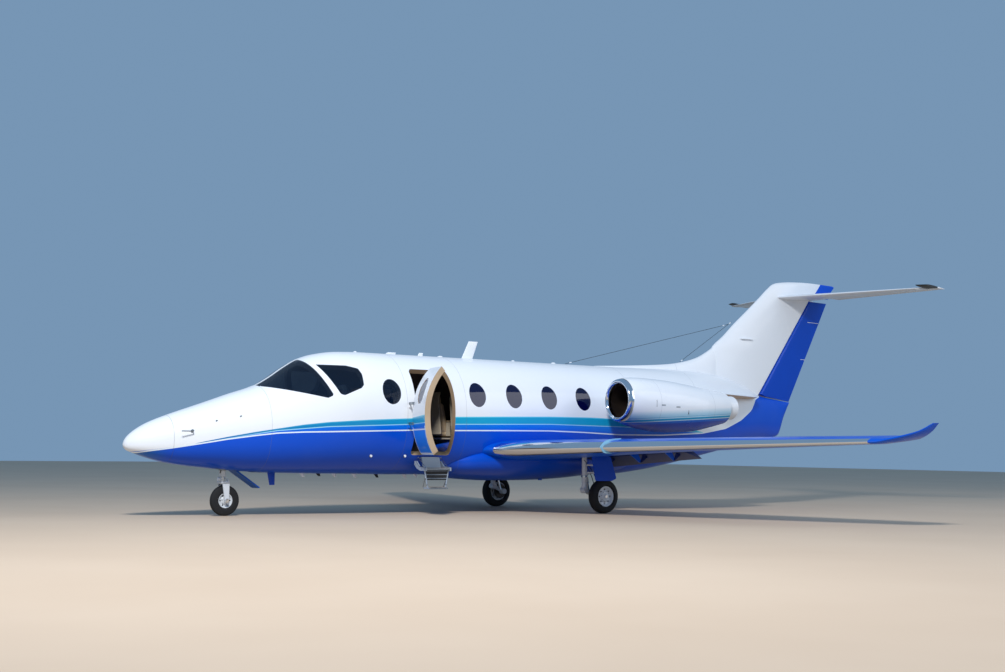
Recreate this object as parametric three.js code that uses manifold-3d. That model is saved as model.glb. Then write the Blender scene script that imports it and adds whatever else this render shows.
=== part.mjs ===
// A light business jet with two tail-mounted engines and a T-tail, parked on its wheels with the
// cabin door open and the entry steps down.
// Millimetres: +X towards the nose, +Y to port, +Z up. The ground is at Z 0 and the origin lies
// under the middle of the aircraft. Fore-and-aft places are stations, millimetres aft of the nose tip.

import * as THREE from "three";
import { mergeVertices } from "three/addons/utils/BufferGeometryUtils.js";
import Module from "manifold-3d";

const wasm = await Module();
wasm.setup();

// Driving dimensions
const LENGTH = 14760;
const NOSE_X = LENGTH / 2;
const WALL = 85;
const REAR_WALL = 40;
const SEAM = 0.3;
const MOVING_GAP = 12;

// Fuselage sections: station, half width, top, underside, height of the widest line
const FUSELAGE = [
  [0, 12, 1002, 978, 990],
  [25, 60, 1062, 938, 992],
  [60, 96, 1108, 912, 996],
  [140, 155, 1177, 881, 1005],
  [320, 240, 1287, 822, 1030],
  [600, 325, 1402, 752, 1070],
  [900, 400, 1506, 707, 1110],
  [1200, 460, 1608, 678, 1150],
  [1550, 520, 1731, 640, 1200],
  [1950, 588, 1866, 616, 1262],
  [2150, 622, 1978, 610, 1295],
  [2400, 668, 2146, 606, 1335],
  [2600, 705, 2262, 603, 1368],
  [2900, 755, 2362, 599, 1412],
  [3250, 800, 2415, 596, 1455],
  [3700, 832, 2430, 592, 1488],
  [4200, 840, 2430, 585, 1500],
  [8600, 840, 2430, 590, 1500],
  [9200, 826, 2438, 645, 1505],
  [9900, 765, 2448, 755, 1520],
  [10600, 655, 2440, 885, 1545],
  [11300, 505, 2385, 1020, 1580],
  [12000, 330, 2230, 1155, 1625],
  [12450, 205, 2050, 1232, 1650],
  [12940, 85, 1990, 1312, 1670],
  [13110, 48, 1970, 1640, 1815],
  [13280, 20, 1952, 1935, 1945],
];
const UPPER_POWER = 2.05;
const LOWER_POWER = 2.4;
const RING_SIDES = 24;

// Stations of the seams between the fuselage panels
const RADOME_SEAM = 600;
const NOSE_SEAM = 1950;
const COCKPIT_SEAM = 4060;
const ENTRY_SEAM = 5130;
const CABIN_SEAM = 8600;
const TAIL_END = 13280;
const TAIL_CAVITY_END = 12450;

// Fairing under the wing: station, half width, top, underside, height of the widest line
const BELLY_FAIRING = [
  [4850, 470, 900, 620, 760],
  [5150, 640, 1010, 552, 780],
  [5450, 760, 1090, 521, 800],
  [6060, 850, 1130, 490, 815],
  [6700, 860, 1130, 492, 815],
  [7270, 850, 1130, 512, 815],
  [7700, 810, 1110, 545, 815],
  [8200, 720, 1050, 592, 815],
  [8700, 560, 960, 650, 810],
];

// Doorway and door
const DOOR = { front: 4200, rear: 4920, sill: 887, head: 2180, corner: 60, gap: 6 };
const DOOR_HINGE = { station: 4085, y: 850, openDegrees: 109 };
const DOORWAY_RADIUS = 835;
const DOOR_RADIUS = DOORWAY_RADIUS - 7;
const DOOR_KNUCKLES = { heights: [1330, 1630], length: 40, outer: 15, bore: 7.4, pin: 7 };

// Cabin windows: station of the centre, for each side
const WINDOW = { halfLength: 155, halfHeight: 188, height: 1820, door: 4560 };
const FRONT_WINDOW = 3806;
const PORT_WINDOWS = [5364, 6072, 6780, 7488];
const STARBOARD_WINDOWS = [4656, 5364, 6072, 6780, 7488];

// Cockpit glazing seen from the side: station, height
const WINDSHIELD = [
  [1890, 1862],
  [2470, 2240],
  [2600, 2290],
  [2872, 1738],
  [2782, 1696],
];
const COCKPIT_SIDE_WINDOW = [
  [2735, 2190],
  [3170, 2188],
  [3340, 2150],
  [3372, 2070],
  [3360, 1905],
  [3315, 1858],
  [3035, 1742],
  [2975, 1760],
];
const GLASS_SET_BACK = 4;
const CENTRE_POST = 32;

// Wing: distance from the centreline, leading-edge station, its height, chord, thickness, incidence
const WING = [
  [840, 5560, 977, 2290, 0.132, 2.5],
  [6200, 7930, 1155, 950, 0.115, -3],
];
const WING_CAMBER = 0.018;
const WING_ROOT = 600;
const WING_TIP = 6300;
const WINGLET = [
  [6430, 8050, 1190, 715, 0.1, 20],
  [6530, 8225, 1238, 540, 0.09, 45],
  [6590, 8520, 1315, 310, 0.08, 66],
  [6618, 8790, 1422, 135, 0.07, 74],
];
const LEADING_EDGE = { inner: 905, outer: 6200, rear: 0.07 };
const FLAP = { inner: 985, outer: 2750, box: 0.742, front: 0.757, hinge: 0.785, drop: 120, degrees: 20 };
const FLAP_BRACKETS = [1400, 2000, 2600];
const AILERON = { inner: 3930, outer: 6190, box: 0.69, hinge: 0.735 };
const FENCE = { y: 2600, reach: 42, rear: 0.2, thickness: 8 };

// Tailplane: distance from the centreline, leading-edge station, height, chord
const TAILPLANE = [
  [0, 12840, 3965, 1490],
  [2500, 14222, 4045, 540],
];
const TAILPLANE_THICKNESS = 0.06;
const TAILPLANE_TILT = 0.05;
const ELEVATOR = { inner: 320, outer: 2490, box: 0.765, hinge: 0.8, degrees: 7.5 };
// The elevator's balance horn takes in the whole chord at the tip
const HORN_INNER = 2320;

// Fin and rudder: height, leading-edge station, trailing-edge station
const FIN = [
  [1960, 11600, 13280],
  [2400, 11130, 13527],
  [2876, 11137, 13793],
  [3140, 11449, 13941],
  [3371, 11703, 14070],
  [3593, 12070, 14195],
  [3911, 12483, 14372],
  [4101, 12714, 14480],
  [4206, 12884, 14560],
  [4262, 13220, 14610],
  [4284, 13560, 14560],
];
const FIN_THICKNESS = 0.095;
const RUDDER_HINGE = { low: [12440, 2055], high: [13880, 3947] };
const RUDDER_TOP = 3925;
const RUDDER_FOOT = 1960;
// Where the rudder's hinge line meets the tailplane above and the fuselage below
const RUDDER_PIN_TOP = 3959.8;
const RUDDER_PIN_FOOT = 2054.2;
const FIN_CAP_FOOT = 4009.5;

// Dorsal fairing ahead of the fin: station, half width, top
const DORSAL = [
  [8400, 20, 2436],
  [9200, 80, 2478],
  [10120, 105, 2545],
  [10450, 105, 2595],
  [10830, 95, 2707],
  [11137, 85, 2876],
  [11330, 75, 3010],
];
const DORSAL_FOOT = 2300;

// Engine nacelles: station, half width, top, underside
const NACELLE = [
  [7830, 350, 2155, 1455],
  [7920, 372, 2170, 1415],
  [8120, 392, 2181, 1365],
  [8700, 405, 2160, 1303],
  [9300, 385, 2100, 1320],
  [9800, 320, 2042, 1402],
  [10100, 258, 2004, 1468],
];
// The inlet's face leans inboard, fading out along the nacelle.
const INLET_LEAN = { degrees: 4, rear: 8700 };
const NACELLE_SIDES = 24;
const ENGINE = { y: 1330, z: 1800, duct: 262, fan: 250, fanStation: 8180, core: [8400, 9300], nozzle: 200, nozzleDrop: 55 };
const NOZZLE_END = 10330;
const FAN_BLADES = 14;

// Landing gear
const MAIN_GEAR = { station: 7390, y: 1420, hub: 268, tyre: 268, rim: 160, width: 178 };
const NOSE_GEAR = { station: 1530, y: 0, hub: 217, tyre: 217, rim: 108, width: 106, strut: 1488 };
const MAIN_LEG = { station: 7170, y: 1215, head: 920, foot: 360, radius: 42 };
const LEG_DOOR = [
  [7040, 960],
  [7125, 514],
  [7457, 513],
  [7551, 552],
  [7391, 960],
];
const LEG_DOOR_Y = [1535, 1553];
const NOSE_BAY = { front: 1340, rear: 2060, half: 125, top: 1010 };

// Cabin. The floor's node takes in its beams, down to the wall of the belly.
const FLOOR_TOP = 870;
const FLOOR_FRONT = 2080;
const BULKHEAD = [8440, 8480];
// Seats: station of the seat's middle, 1 facing the nose or -1 facing the tail
const CABIN_SEATS = [
  [5650, -1],
  [6700, 1],
  [7650, 1],
];
const CABIN_SEAT_Y = 375;
const COCKPIT_SEAT = { station: 3150, y: 330 };

// Entry steps, seen from ahead: distance from the centreline, height
const STEP_SIDE = [
  [540, 800],
  [690, 800],
  [775, 722],
  [950, 706],
  [950, 655],
  [735, 655],
  [540, 700],
];
const STEP_RISER = [
  [690, 862],
  [716, 862],
  [762, 692],
  [738, 678],
];
const STEP_PLATE = 22;
const STEP_SILL = { stations: [4400, 4720], y: [600, 716], top: 862 };
const UPPER_TREAD = { stations: [4318, 4780], y: [740, 950], top: 700 };
const LOWER_TREAD = { stations: [4379, 4730], y: [800, 950], top: 415 };
const TREAD_THICKNESS = 30;
// Legs between the treads, and the panel that ties them
const STEP_LEG = { y: 895, radius: 13, inset: 14 };
const STEP_TIE = { y: [889, 901], foot: 520 };

const FINISHES = {
  white: { color: 0xf1f2f4, roughness: 0.25, metalness: 0 },
  blue: { color: 0x0a3fb4, roughness: 0.22, metalness: 0 },
  darkBlue: { color: 0x0a1c55, roughness: 0.3, metalness: 0 },
  polished: { color: 0xd9dcdf, roughness: 0.12, metalness: 1 },
  steel: { color: 0xb8bbbe, roughness: 0.35, metalness: 0.9 },
  glass: { color: 0x1b2c3f, roughness: 0.05, metalness: 0 },
  rubber: { color: 0x17181a, roughness: 0.8, metalness: 0 },
  grey: { color: 0x8d949c, roughness: 0.5, metalness: 0.2 },
  leather: { color: 0xcdbb9c, roughness: 0.6, metalness: 0 },
  carpet: { color: 0x8b8478, roughness: 0.95, metalness: 0 },
  black: { color: 0x1a1b1e, roughness: 0.6, metalness: 0 },
};
const materials = Object.fromEntries(
  Object.entries(FINISHES).map(([name, finish]) => [name, new THREE.MeshStandardMaterial(finish)]),
);

// Curves and tables

// One column of a table at x in its first column: straight between rows, and carried on past the ends.
function read(rows, column, x) {
  const after = rows.findIndex((row) => row[0] >= x);
  const i = after < 0 ? rows.length - 1 : Math.max(after, 1);
  const [low, high] = [rows[i - 1], rows[i]];
  return low[column] + ((high[column] - low[column]) * (x - low[0])) / (high[0] - low[0]);
}

const blend = (a, b, t) => a + (b - a) * t;
const signedPower = (value, power) => Math.sign(value) * Math.abs(value) ** power;
const at = (station, y, z) => new THREE.Vector3(NOSE_X - station, y, z);
const halfThickness = (f, thickness) =>
  5 * thickness * (0.2969 * Math.sqrt(f) - 0.126 * f - 0.3516 * f ** 2 + 0.2843 * f ** 3 - 0.1036 * f ** 4);

// Solids

// A closed body through rings of points, all with the same number of points.
function loft(rings) {
  const sides = rings[0].length;
  const last = (rings.length - 1) * sides;
  const index = [];
  for (let ring = 0; ring < rings.length - 1; ring++)
    for (let i = 0; i < sides; i++) {
      const [a, b] = [ring * sides + i, ring * sides + ((i + 1) % sides)];
      index.push(a, b, b + sides, a, b + sides, a + sides);
    }
  const cap = (a, b, c) => index.push(a, c, b, last + a, last + b, last + c);
  for (let low = 0, high = sides - 1; high - low > 1; ) {
    cap(low, low + 1, high);
    low++;
    if (high - low > 1) cap(low, high - 1, high--);
  }
  const geometry = new THREE.BufferGeometry().setFromPoints(rings.flat());
  return solid(geometry.setIndex(index));
}

// A three.js geometry as a solid with its faces pointing out.
function solid(geometry) {
  const bare = new THREE.BufferGeometry().setAttribute("position", geometry.getAttribute("position"));
  bare.setIndex(geometry.index);
  const merged = mergeVertices(bare, 1e-3);
  const corners = [];
  for (let i = 0; i < merged.index.count; i += 3) {
    const [a, b, c] = [0, 1, 2].map((k) => merged.index.getX(i + k));
    if (a !== b && b !== c && c !== a) corners.push(a, b, c);
  }
  const build = (list) =>
    new wasm.Manifold(
      new wasm.Mesh({
        numProp: 3,
        vertProperties: new Float32Array(merged.attributes.position.array),
        triVerts: new Uint32Array(list),
      }),
    );
  const made = build(corners);
  return made.volume() < 0 ? build(corners.reverse()) : made;
}

const join = (...bodies) => bodies.reduce((sum, body) => sum.add(body));
const cut = (body, ...tools) => tools.reduce((rest, tool) => rest.subtract(tool), body);

function block([front, rear], [yLow, yHigh], [zLow, zHigh]) {
  const geometry = new THREE.BoxGeometry(rear - front, yHigh - yLow, zHigh - zLow);
  return solid(geometry.translate(NOSE_X - (front + rear) / 2, (yLow + yHigh) / 2, (zLow + zHigh) / 2));
}

// A round bar between two points.
function rod(from, to, radius, sides = 12) {
  const along = to.clone().sub(from);
  const geometry = new THREE.CylinderGeometry(radius, radius, along.length(), sides);
  const turn = new THREE.Quaternion().setFromUnitVectors(new THREE.Vector3(0, 1, 0), along.normalize());
  const middle = from.clone().add(to).multiplyScalar(0.5);
  return solid(geometry.applyQuaternion(turn).translate(middle.x, middle.y, middle.z));
}

// A hinge pin from inside a moving surface towards a wall, whose normal is given. Its square end
// clears the wall by a seam wherever the surface is turned to.
function hingePin(inside, wall, normal) {
  const along = wall.clone().sub(inside).normalize();
  const lean = Math.abs(along.dot(normal));
  const slack = PIN_RADIUS * Math.sqrt(1 / lean ** 2 - 1) + PIN_GAP / lean;
  return rod(inside, wall.clone().addScaledVector(along, -slack), PIN_RADIUS, 12);
}
const PIN_RADIUS = 8;
const PIN_GAP = 0.4;
const ACROSS = new THREE.Vector3(0, 1, 0);

// An outline of stations and heights, extruded across the aircraft.
function sidePrism(outline, yLow, yHigh) {
  const shape = new THREE.Shape(outline.map(([station, z]) => new THREE.Vector2(NOSE_X - station, z)));
  const geometry = new THREE.ExtrudeGeometry(shape, { depth: yHigh - yLow, bevelEnabled: false });
  return solid(geometry.rotateX(Math.PI / 2).translate(0, yHigh, 0));
}

// An outline of distances from the centreline and heights, extruded along the aircraft.
function crossPrism(outline, front, rear) {
  const shape = new THREE.Shape(outline.map(([y, z]) => new THREE.Vector2(y, z)));
  const geometry = new THREE.ExtrudeGeometry(shape, { depth: rear - front, bevelEnabled: false });
  const frame = new THREE.Matrix4().makeBasis(
    new THREE.Vector3(0, 1, 0),
    new THREE.Vector3(0, 0, 1),
    new THREE.Vector3(1, 0, 0),
  );
  return solid(geometry.applyMatrix4(frame).translate(NOSE_X - rear, 0, 0));
}

function ellipse(station, z, halfLength, halfHeight, count = 16) {
  return Array.from({ length: count }, (_, i) => {
    const angle = (2 * Math.PI * i) / count;
    return [station + halfLength * Math.cos(angle), z + halfHeight * Math.sin(angle)];
  });
}

// A rectangle of stations and heights with round corners of four steps each.
function roundRectangle(front, rear, low, high, radius) {
  const corners = [
    [rear - radius, high - radius, 0],
    [front + radius, high - radius, 1],
    [front + radius, low + radius, 2],
    [rear - radius, low + radius, 3],
  ];
  return corners.flatMap(([station, z, quarter]) =>
    [0, 1, 2, 3].map((step) => {
      const angle = ((quarter + step / 3) * Math.PI) / 2;
      return [station + radius * Math.cos(angle), z + radius * Math.sin(angle)];
    }),
  );
}

// A profile of radius and distance along an axle, turned about the axis Y.
function turned(profile, sides) {
  return solid(new THREE.LatheGeometry(profile.map(([r, d]) => new THREE.Vector2(r, d)), sides));
}

const jet = new THREE.Group();
function add(name, body, material, parent = jet) {
  const { vertProperties, triVerts } = body.getMesh();
  const geometry = new THREE.BufferGeometry();
  geometry.setAttribute("position", new THREE.BufferAttribute(vertProperties, 3));
  geometry.setIndex(new THREE.BufferAttribute(triVerts, 1));
  geometry.computeVertexNormals();
  const mesh = new THREE.Mesh(geometry, material);
  mesh.name = name;
  parent.add(mesh);
  return mesh;
}

// The same piece for each side: side is 1 to port and -1 to starboard.
const SIDES = [
  ["left", 1],
  ["right", -1],
];

// Fuselage

function ring(table, station, inset = 0, sides = RING_SIDES) {
  const [half, top, low, wide] = [1, 2, 3, 4].map((column) => read(table, column, station));
  return Array.from({ length: sides }, (_, i) => {
    const angle = (2 * Math.PI * i) / sides;
    const upper = Math.sin(angle) > 0;
    const power = 2 / (upper ? UPPER_POWER : LOWER_POWER);
    const rise = Math.max((upper ? top - wide : wide - low) - inset, 2);
    const y = signedPower(Math.cos(angle), power) * Math.max(half - inset, 2);
    return at(station, y, wide + signedPower(Math.sin(angle), power) * rise);
  });
}

// The fuselage's outer form between two stations, drawn in by the inset.
function hull(front, rear, inset = 0, table = FUSELAGE) {
  const between = table.map((row) => row[0]).filter((station) => station > front + 1 && station < rear - 1);
  return loft([front, ...between, rear].map((station) => ring(table, station, inset)));
}

const tube = (front, rear) => cut(hull(front, rear), hull(front - 1, rear + 1, WALL));
const cavity = (front, rear) => hull(front, rear, WALL + SEAM);
const windowPrism = (station, grow, yLow, yHigh) =>
  sidePrism(ellipse(station, WINDOW.height, WINDOW.halfLength + grow, WINDOW.halfHeight + grow), yLow, yHigh);
const GLASS_REACH = 1000;
const bothSides = (low, high) => SIDES.map(([, side]) => (side > 0 ? [low, high] : [-high, -low]));

function buildNose() {
  add("radome", hull(0, RADOME_SEAM - SEAM), materials.white);
  const bay = block([NOSE_BAY.front, NOSE_BAY.rear], [-NOSE_BAY.half, NOSE_BAY.half], [400, NOSE_BAY.top]);
  add("nose_section", cut(hull(RADOME_SEAM, NOSE_SEAM - SEAM), bay), materials.white);
  return bay;
}

function buildCockpit(bay) {
  const openings = bothSides(CENTRE_POST, GLASS_REACH).flatMap(([low, high]) => [
    sidePrism(WINDSHIELD, low, high),
    sidePrism(COCKPIT_SIDE_WINDOW, low, high),
    windowPrism(FRONT_WINDOW, 0, low, high),
  ]);
  const bladeAntenna = sidePrism([[2190, 640], [2320, 640], [2320, 432], [2235, 432]], -9, 9);
  const shell = cut(tube(NOSE_SEAM, COCKPIT_SEAM - SEAM), bay, ...openings);
  add("cockpit_section", join(shell, cut(bladeAntenna, hull(2100, 2400, 10))), materials.white);
}

// The panes of one side, tied together by a thin strip on the inner face of the wall.
function glazing(outlines, [stripFront, stripRear], side) {
  const near = CENTRE_POST + SEAM;
  const [low, high] = side > 0 ? [near, GLASS_REACH] : [-GLASS_REACH, -near];
  const strip = block([stripFront, stripRear], [low, high], [1802, 1838]);
  const lined = strip.intersect(cavity(NOSE_SEAM, CABIN_SEAM - SEAM));
  const panes = outlines.map((outline) => sidePrism(outline, low, high));
  const skin = cut(
    hull(NOSE_SEAM + SEAM, CABIN_SEAM - SEAM, GLASS_SET_BACK),
    hull(NOSE_SEAM - 1, CABIN_SEAM, WALL + 10),
  );
  return join(...panes, lined).intersect(skin);
}

// An outline scaled towards its centre by about a seam, so that a pane sits in its cut-out.
function drawnIn(outline) {
  const centre = [0, 1].map((k) => outline.reduce((sum, point) => sum + point[k], 0) / outline.length);
  return outline.map((point) => point.map((value, k) => blend(value, centre[k], PANE_SHRINK)));
}
const PANE_SHRINK = 0.003;

function buildGlazing() {
  const pane = (station) =>
    ellipse(station, WINDOW.height, WINDOW.halfLength - SEAM, WINDOW.halfHeight - SEAM);
  for (const [name, side] of SIDES) {
    const cockpit = [drawnIn(WINDSHIELD), drawnIn(COCKPIT_SIDE_WINDOW), pane(FRONT_WINDOW)];
    add("cockpit_glazing_" + name, glazing(cockpit, [2700, FRONT_WINDOW], side), materials.glass);
    const stations = side > 0 ? PORT_WINDOWS : STARBOARD_WINDOWS;
    const cabin = glazing(stations.map(pane), [stations[0], stations[stations.length - 1]], side);
    add("cabin_windows_" + name, cabin, materials.glass);
  }
}

const hingePoint = at(DOOR_HINGE.station, DOOR_HINGE.y, 0);
function hingeDrum(radius) {
  const geometry = new THREE.CylinderGeometry(radius, radius, 1700, 96);
  return solid(geometry.rotateX(Math.PI / 2).translate(hingePoint.x, hingePoint.y, 1550));
}

function buildEntry() {
  const { front, rear, sill, head, corner } = DOOR;
  const doorway = sidePrism(roundRectangle(front, rear, sill, head, corner), 200, GLASS_REACH);
  const shell = cut(
    tube(COCKPIT_SEAM, ENTRY_SEAM - SEAM),
    doorway.intersect(hingeDrum(DOORWAY_RADIUS)),
    windowPrism(STARBOARD_WINDOWS[0], 0, -GLASS_REACH, -300),
  );
  const { station, y } = DOOR_HINGE;
  const { heights, length, outer, pin } = DOOR_KNUCKLES;
  const lugs = heights.flatMap((z) => [
    block([station - outer, station + outer], [790, y], [z - length, z - SEAM]),
    rod(at(station, y, z - length), at(station, y, z - SEAM), outer, 16),
    rod(at(station, y, z - length), at(station, y, z + length), pin, 12),
  ]);
  add("entry_section", join(shell, ...lugs), materials.white);
}

function buildDoor() {
  const { front, rear, sill, head, corner, gap } = DOOR;
  const outline = roundRectangle(front + gap, rear, sill + gap, head - gap, corner - gap);
  const panel = tube(COCKPIT_SEAM, ENTRY_SEAM)
    .intersect(sidePrism(outline, 200, GLASS_REACH))
    .intersect(hingeDrum(DOOR_RADIUS));
  const { station, y } = DOOR_HINGE;
  const { heights, length, outer, bore } = DOOR_KNUCKLES;
  const arms = heights.map((z) => {
    const knuckle = turned([[bore, 0], [outer, 0], [outer, length], [bore, length], [bore, 0]], 16);
    const arm = join(
      block([station + bore + 2, front + 14], [y - 5, y + 9], [z, z + length]),
      block([front + 10, front + 70], [y - 45, y + 9], [z, z + length]),
    );
    return [knuckle, arm, z];
  });
  const hinge = new THREE.Group();
  hinge.position.copy(hingePoint);
  hinge.rotation.z = -THREE.MathUtils.degToRad(DOOR_HINGE.openDegrees);
  jet.add(hinge);
  const panelWithArms = arms.reduce((body, [knuckle, arm, z]) => {
    const placed = placedAt(knuckle, new THREE.Matrix4().makeRotationX(Math.PI / 2), hingePoint.x, y, z);
    return join(body, arm, placed);
  }, cut(panel, windowPrism(WINDOW.door, 0, 300, GLASS_REACH)));
  const pane = windowPrism(WINDOW.door, -SEAM, 300, GLASS_REACH).intersect(
    cut(hull(COCKPIT_SEAM, ENTRY_SEAM, GLASS_SET_BACK), hull(COCKPIT_SEAM - 1, ENTRY_SEAM + 1, WALL + 10)),
  );
  for (const [name, body, material] of [
    ["cabin_door", panelWithArms, materials.white],
    ["door_window", pane, materials.glass],
  ]) {
    add(name, body, material, hinge).geometry.translate(-hingePoint.x, -hingePoint.y, 0);
  }
}

// A solid turned by a matrix and moved to a place.
function placedAt(body, turn, x, y, z) {
  const { vertProperties, triVerts } = body.getMesh();
  const geometry = new THREE.BufferGeometry();
  geometry.setAttribute("position", new THREE.BufferAttribute(vertProperties, 3));
  geometry.setIndex(new THREE.BufferAttribute(triVerts, 1));
  return solid(geometry.applyMatrix4(turn).translate(x, y, z));
}

function buildCabinSection() {
  const openings = [
    ...PORT_WINDOWS.map((station) => windowPrism(station, 0, 300, GLASS_REACH)),
    ...STARBOARD_WINDOWS.slice(1).map((station) => windowPrism(station, 0, -GLASS_REACH, -300)),
  ];
  const antenna = sidePrism([[5590, 2400], [5810, 2400], [5925, 2712], [5745, 2712]], -8, 8);
  const shell = cut(tube(ENTRY_SEAM, CABIN_SEAM - SEAM), ...openings);
  add("cabin_section", join(shell, antenna), materials.white);
}

function buildRearFuselage() {
  const hollow = hull(CABIN_SEAM - 1, TAIL_CAVITY_END, REAR_WALL);
  const shell = cut(hull(CABIN_SEAM, TAIL_END), hollow);
  const extras = SIDES.flatMap(([, side]) => {
    const [low, high] = side > 0 ? [640, 1050] : [-1050, -640];
    const rows = [low, high].map((y) => pylonRing(y));
    return [loft(rows), strake(side)].map((body) => cut(body, hollow, nacelleHull(side, -SEAM)));
  });
  add("rear_fuselage", join(shell, ...extras), materials.white);
}

// A pylon's section: an aerofoil lying flat beside the fuselage.
const PYLON = { front: 8640, rear: 10250, z: 1905, thickness: 0.085 };
function pylonRing(y) {
  const chord = PYLON.rear - PYLON.front;
  const fractions = [1, 0.85, 0.65, 0.45, 0.25, 0.1, 0.03];
  const point = (f, sign) =>
    at(PYLON.front + f * chord, y, PYLON.z + sign * (halfThickness(f, PYLON.thickness) * chord + 3));
  return [
    ...fractions.map((f) => point(f, 1)),
    at(PYLON.front, y, PYLON.z),
    ...fractions.toReversed().map((f) => point(f, -1)),
  ];
}

// The strake from a pylon's rear edge back along the tail cone: station, outer edge, top, underside at the root
const STRAKE = [
  [9700, 1000, 1935, 1890],
  [10250, 1050, 2000, 1895],
  [10430, 1060, 2010, 1895],
  [11300, 700, 2012, 1905],
  [11990, 405, 2012, 1945],
  [12060, 300, 2012, 1975],
];
const STRAKE_ROOT = 150;
function strake(side) {
  return loft(
    STRAKE.map(([station, edge, top, low]) =>
      [[STRAKE_ROOT, low], [edge - 14, top - 22], [edge, top - 11], [edge - 14, top], [STRAKE_ROOT, top]]
        .map(([y, z]) => at(station, y * side, z)),
    ),
  );
}

function buildBellyFairing(wings) {
  const fairing = hull(BELLY_FAIRING[0][0], BELLY_FAIRING.at(-1)[0], 0, BELLY_FAIRING);
  const pads = SIDES.map(([, side]) =>
    rod(at(JACK_PAD.station, JACK_PAD.y * side, JACK_PAD.z), at(JACK_PAD.station, JACK_PAD.y * side, 620), 35, 16),
  );
  const whole = join(fairing, ...pads);
  add("belly_fairing", cut(whole, hull(4700, 8900, -SEAM), ...wings), materials.darkBlue);
}
const JACK_PAD = { station: 6900, y: 420, z: 500 };

function buildCabin() {
  const inside = cavity(NOSE_SEAM, CABIN_SEAM - SEAM);
  const floor = block([FLOOR_FRONT, BULKHEAD[0] - SEAM], [-800, 800], [500, FLOOR_TOP]);
  add("cabin_floor", floor.intersect(inside), materials.carpet);
  add("aft_bulkhead", block(BULKHEAD, [-900, 900], [500, 2500]).intersect(inside), materials.leather);
  const cabinet = block([4270, 4430], [-700, -230], [FLOOR_TOP + SEAM, 1900]);
  add("entry_cabinet", cabinet.intersect(inside), materials.leather);
  buildPanel(inside);
  buildSeats();
}

function buildPanel(inside) {
  const dash = sidePrism([[2330, 1500], [2250, 1640], [2330, 1730], [2640, 1690], [2560, 1330], [2500, 1300]], -700, 700);
  const pedestal = sidePrism([[2400, FLOOR_TOP + SEAM], [2400, 1500], [2600, 1330], [2860, 1220], [2860, FLOOR_TOP + SEAM]], -110, 110);
  add("instrument_panel", join(dash.intersect(inside), pedestal), materials.black);
}

// One seat: pedestal, cushion, leaning back with its headrest, and two armrests.
function seat(station, y, facing, foot, width) {
  const half = width / 2;
  const place = (outline, low, high) =>
    sidePrism(outline.map(([ahead, z]) => [station - ahead * facing, foot + z]), y + low, y + high);
  const cushion = [[-250, 250], [-250, 370], [230, 400], [265, 370], [265, 270], [240, 250]];
  const back = [[-210, 300], [-120, 340], [-270, 1010], [-330, 1010], [-380, 900], [-330, 330]];
  const arm = [[-230, 300], [-230, 560], [150, 560], [180, 530], [180, 300]];
  return join(
    place([[-180, 0], [-180, 300], [180, 300], [180, 0]], -half + 60, half - 60),
    place(cushion, -half, half),
    place(back, -half + 15, half - 15),
    place(arm, -half - 30, -half + 25),
    place(arm, half - 25, half + 30),
  );
}

const SEAT_TRACK = 16;
function buildSeats() {
  const foot = FLOOR_TOP + SEAM;
  for (const [name, side] of SIDES) {
    const { station, y } = COCKPIT_SEAT;
    add("cockpit_seat_" + name, seat(station, y * side, 1, foot, 430), materials.leather);
  }
  for (const [name, side] of SIDES) {
    const y = CABIN_SEAT_Y * side;
    const [front, rear] = [CABIN_SEATS[0][0] - 200, CABIN_SEATS.at(-1)[0] + 200];
    const track = block([front, rear], [y - 130, y + 130], [foot, foot + SEAT_TRACK]);
    const row = CABIN_SEATS.map(([station, facing]) => seat(station, y, facing, foot + SEAT_TRACK - 2, 460));
    add("cabin_seats_" + name, join(track, ...row), materials.leather);
  }
}

// Entry steps: side plates and a riser hung from the skin under the sill, and two legs that lean in to the lower tread.
function buildAirstair() {
  const slab = ({ stations, y, top }) => block(stations, y, [top - TREAD_THICKNESS, top]);
  const [front, rear] = UPPER_TREAD.stations;
  const plates = [front, rear - STEP_PLATE].map((station) => crossPrism(STEP_SIDE, station, station + STEP_PLATE));
  const { y, radius, inset } = STEP_LEG;
  const middle = TREAD_THICKNESS / 2;
  const legs = [0, 1].map((end) => {
    const inward = end ? -inset : inset;
    const head = at(UPPER_TREAD.stations[end] + inward, y, UPPER_TREAD.top - middle);
    return rod(head, at(LOWER_TREAD.stations[end] + inward, y, LOWER_TREAD.top - middle), radius, 16);
  });
  const tie = block([front + 32, rear - 32], STEP_TIE.y, [STEP_TIE.foot, UPPER_TREAD.top - middle]);
  const riser = crossPrism(STEP_RISER, ...STEP_SILL.stations);
  const steps = join(slab(STEP_SILL), slab(UPPER_TREAD), slab(LOWER_TREAD), ...plates, ...legs, tie, riser);
  add("airstair", cut(steps, hull(4100, 5000, -SEAM)), materials.grey);
}

// Wing

const wingAt = (y) => {
  const [, station, z, chord, thickness, degrees] = WING[0].map((_, column) => read(WING, column, y));
  return { station, z, chord, thickness, incidence: THREE.MathUtils.degToRad(degrees) };
};

// A point of the wing's section: fraction of the chord, and 1, 0 or -1 for top, middle or underside.
function wingPoint(y, side, f, face, grow = 0, thin = 1) {
  const { station, z, chord, thickness, incidence } = wingAt(y);
  const camber = 4 * WING_CAMBER * f * (1 - f) * chord;
  const rise = camber + face * (halfThickness(f, thickness) * chord * thin + 2 * f + grow);
  return at(station + f * chord * Math.cos(incidence), y * side, z - f * chord * Math.sin(incidence) + rise);
}

// Fractions from rear to front, closer together towards the front.
function fractions(front, rear, count) {
  return Array.from({ length: count + 1 }, (_, i) => rear + (front - rear) * Math.sin((i / count) * (Math.PI / 2)));
}

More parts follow.
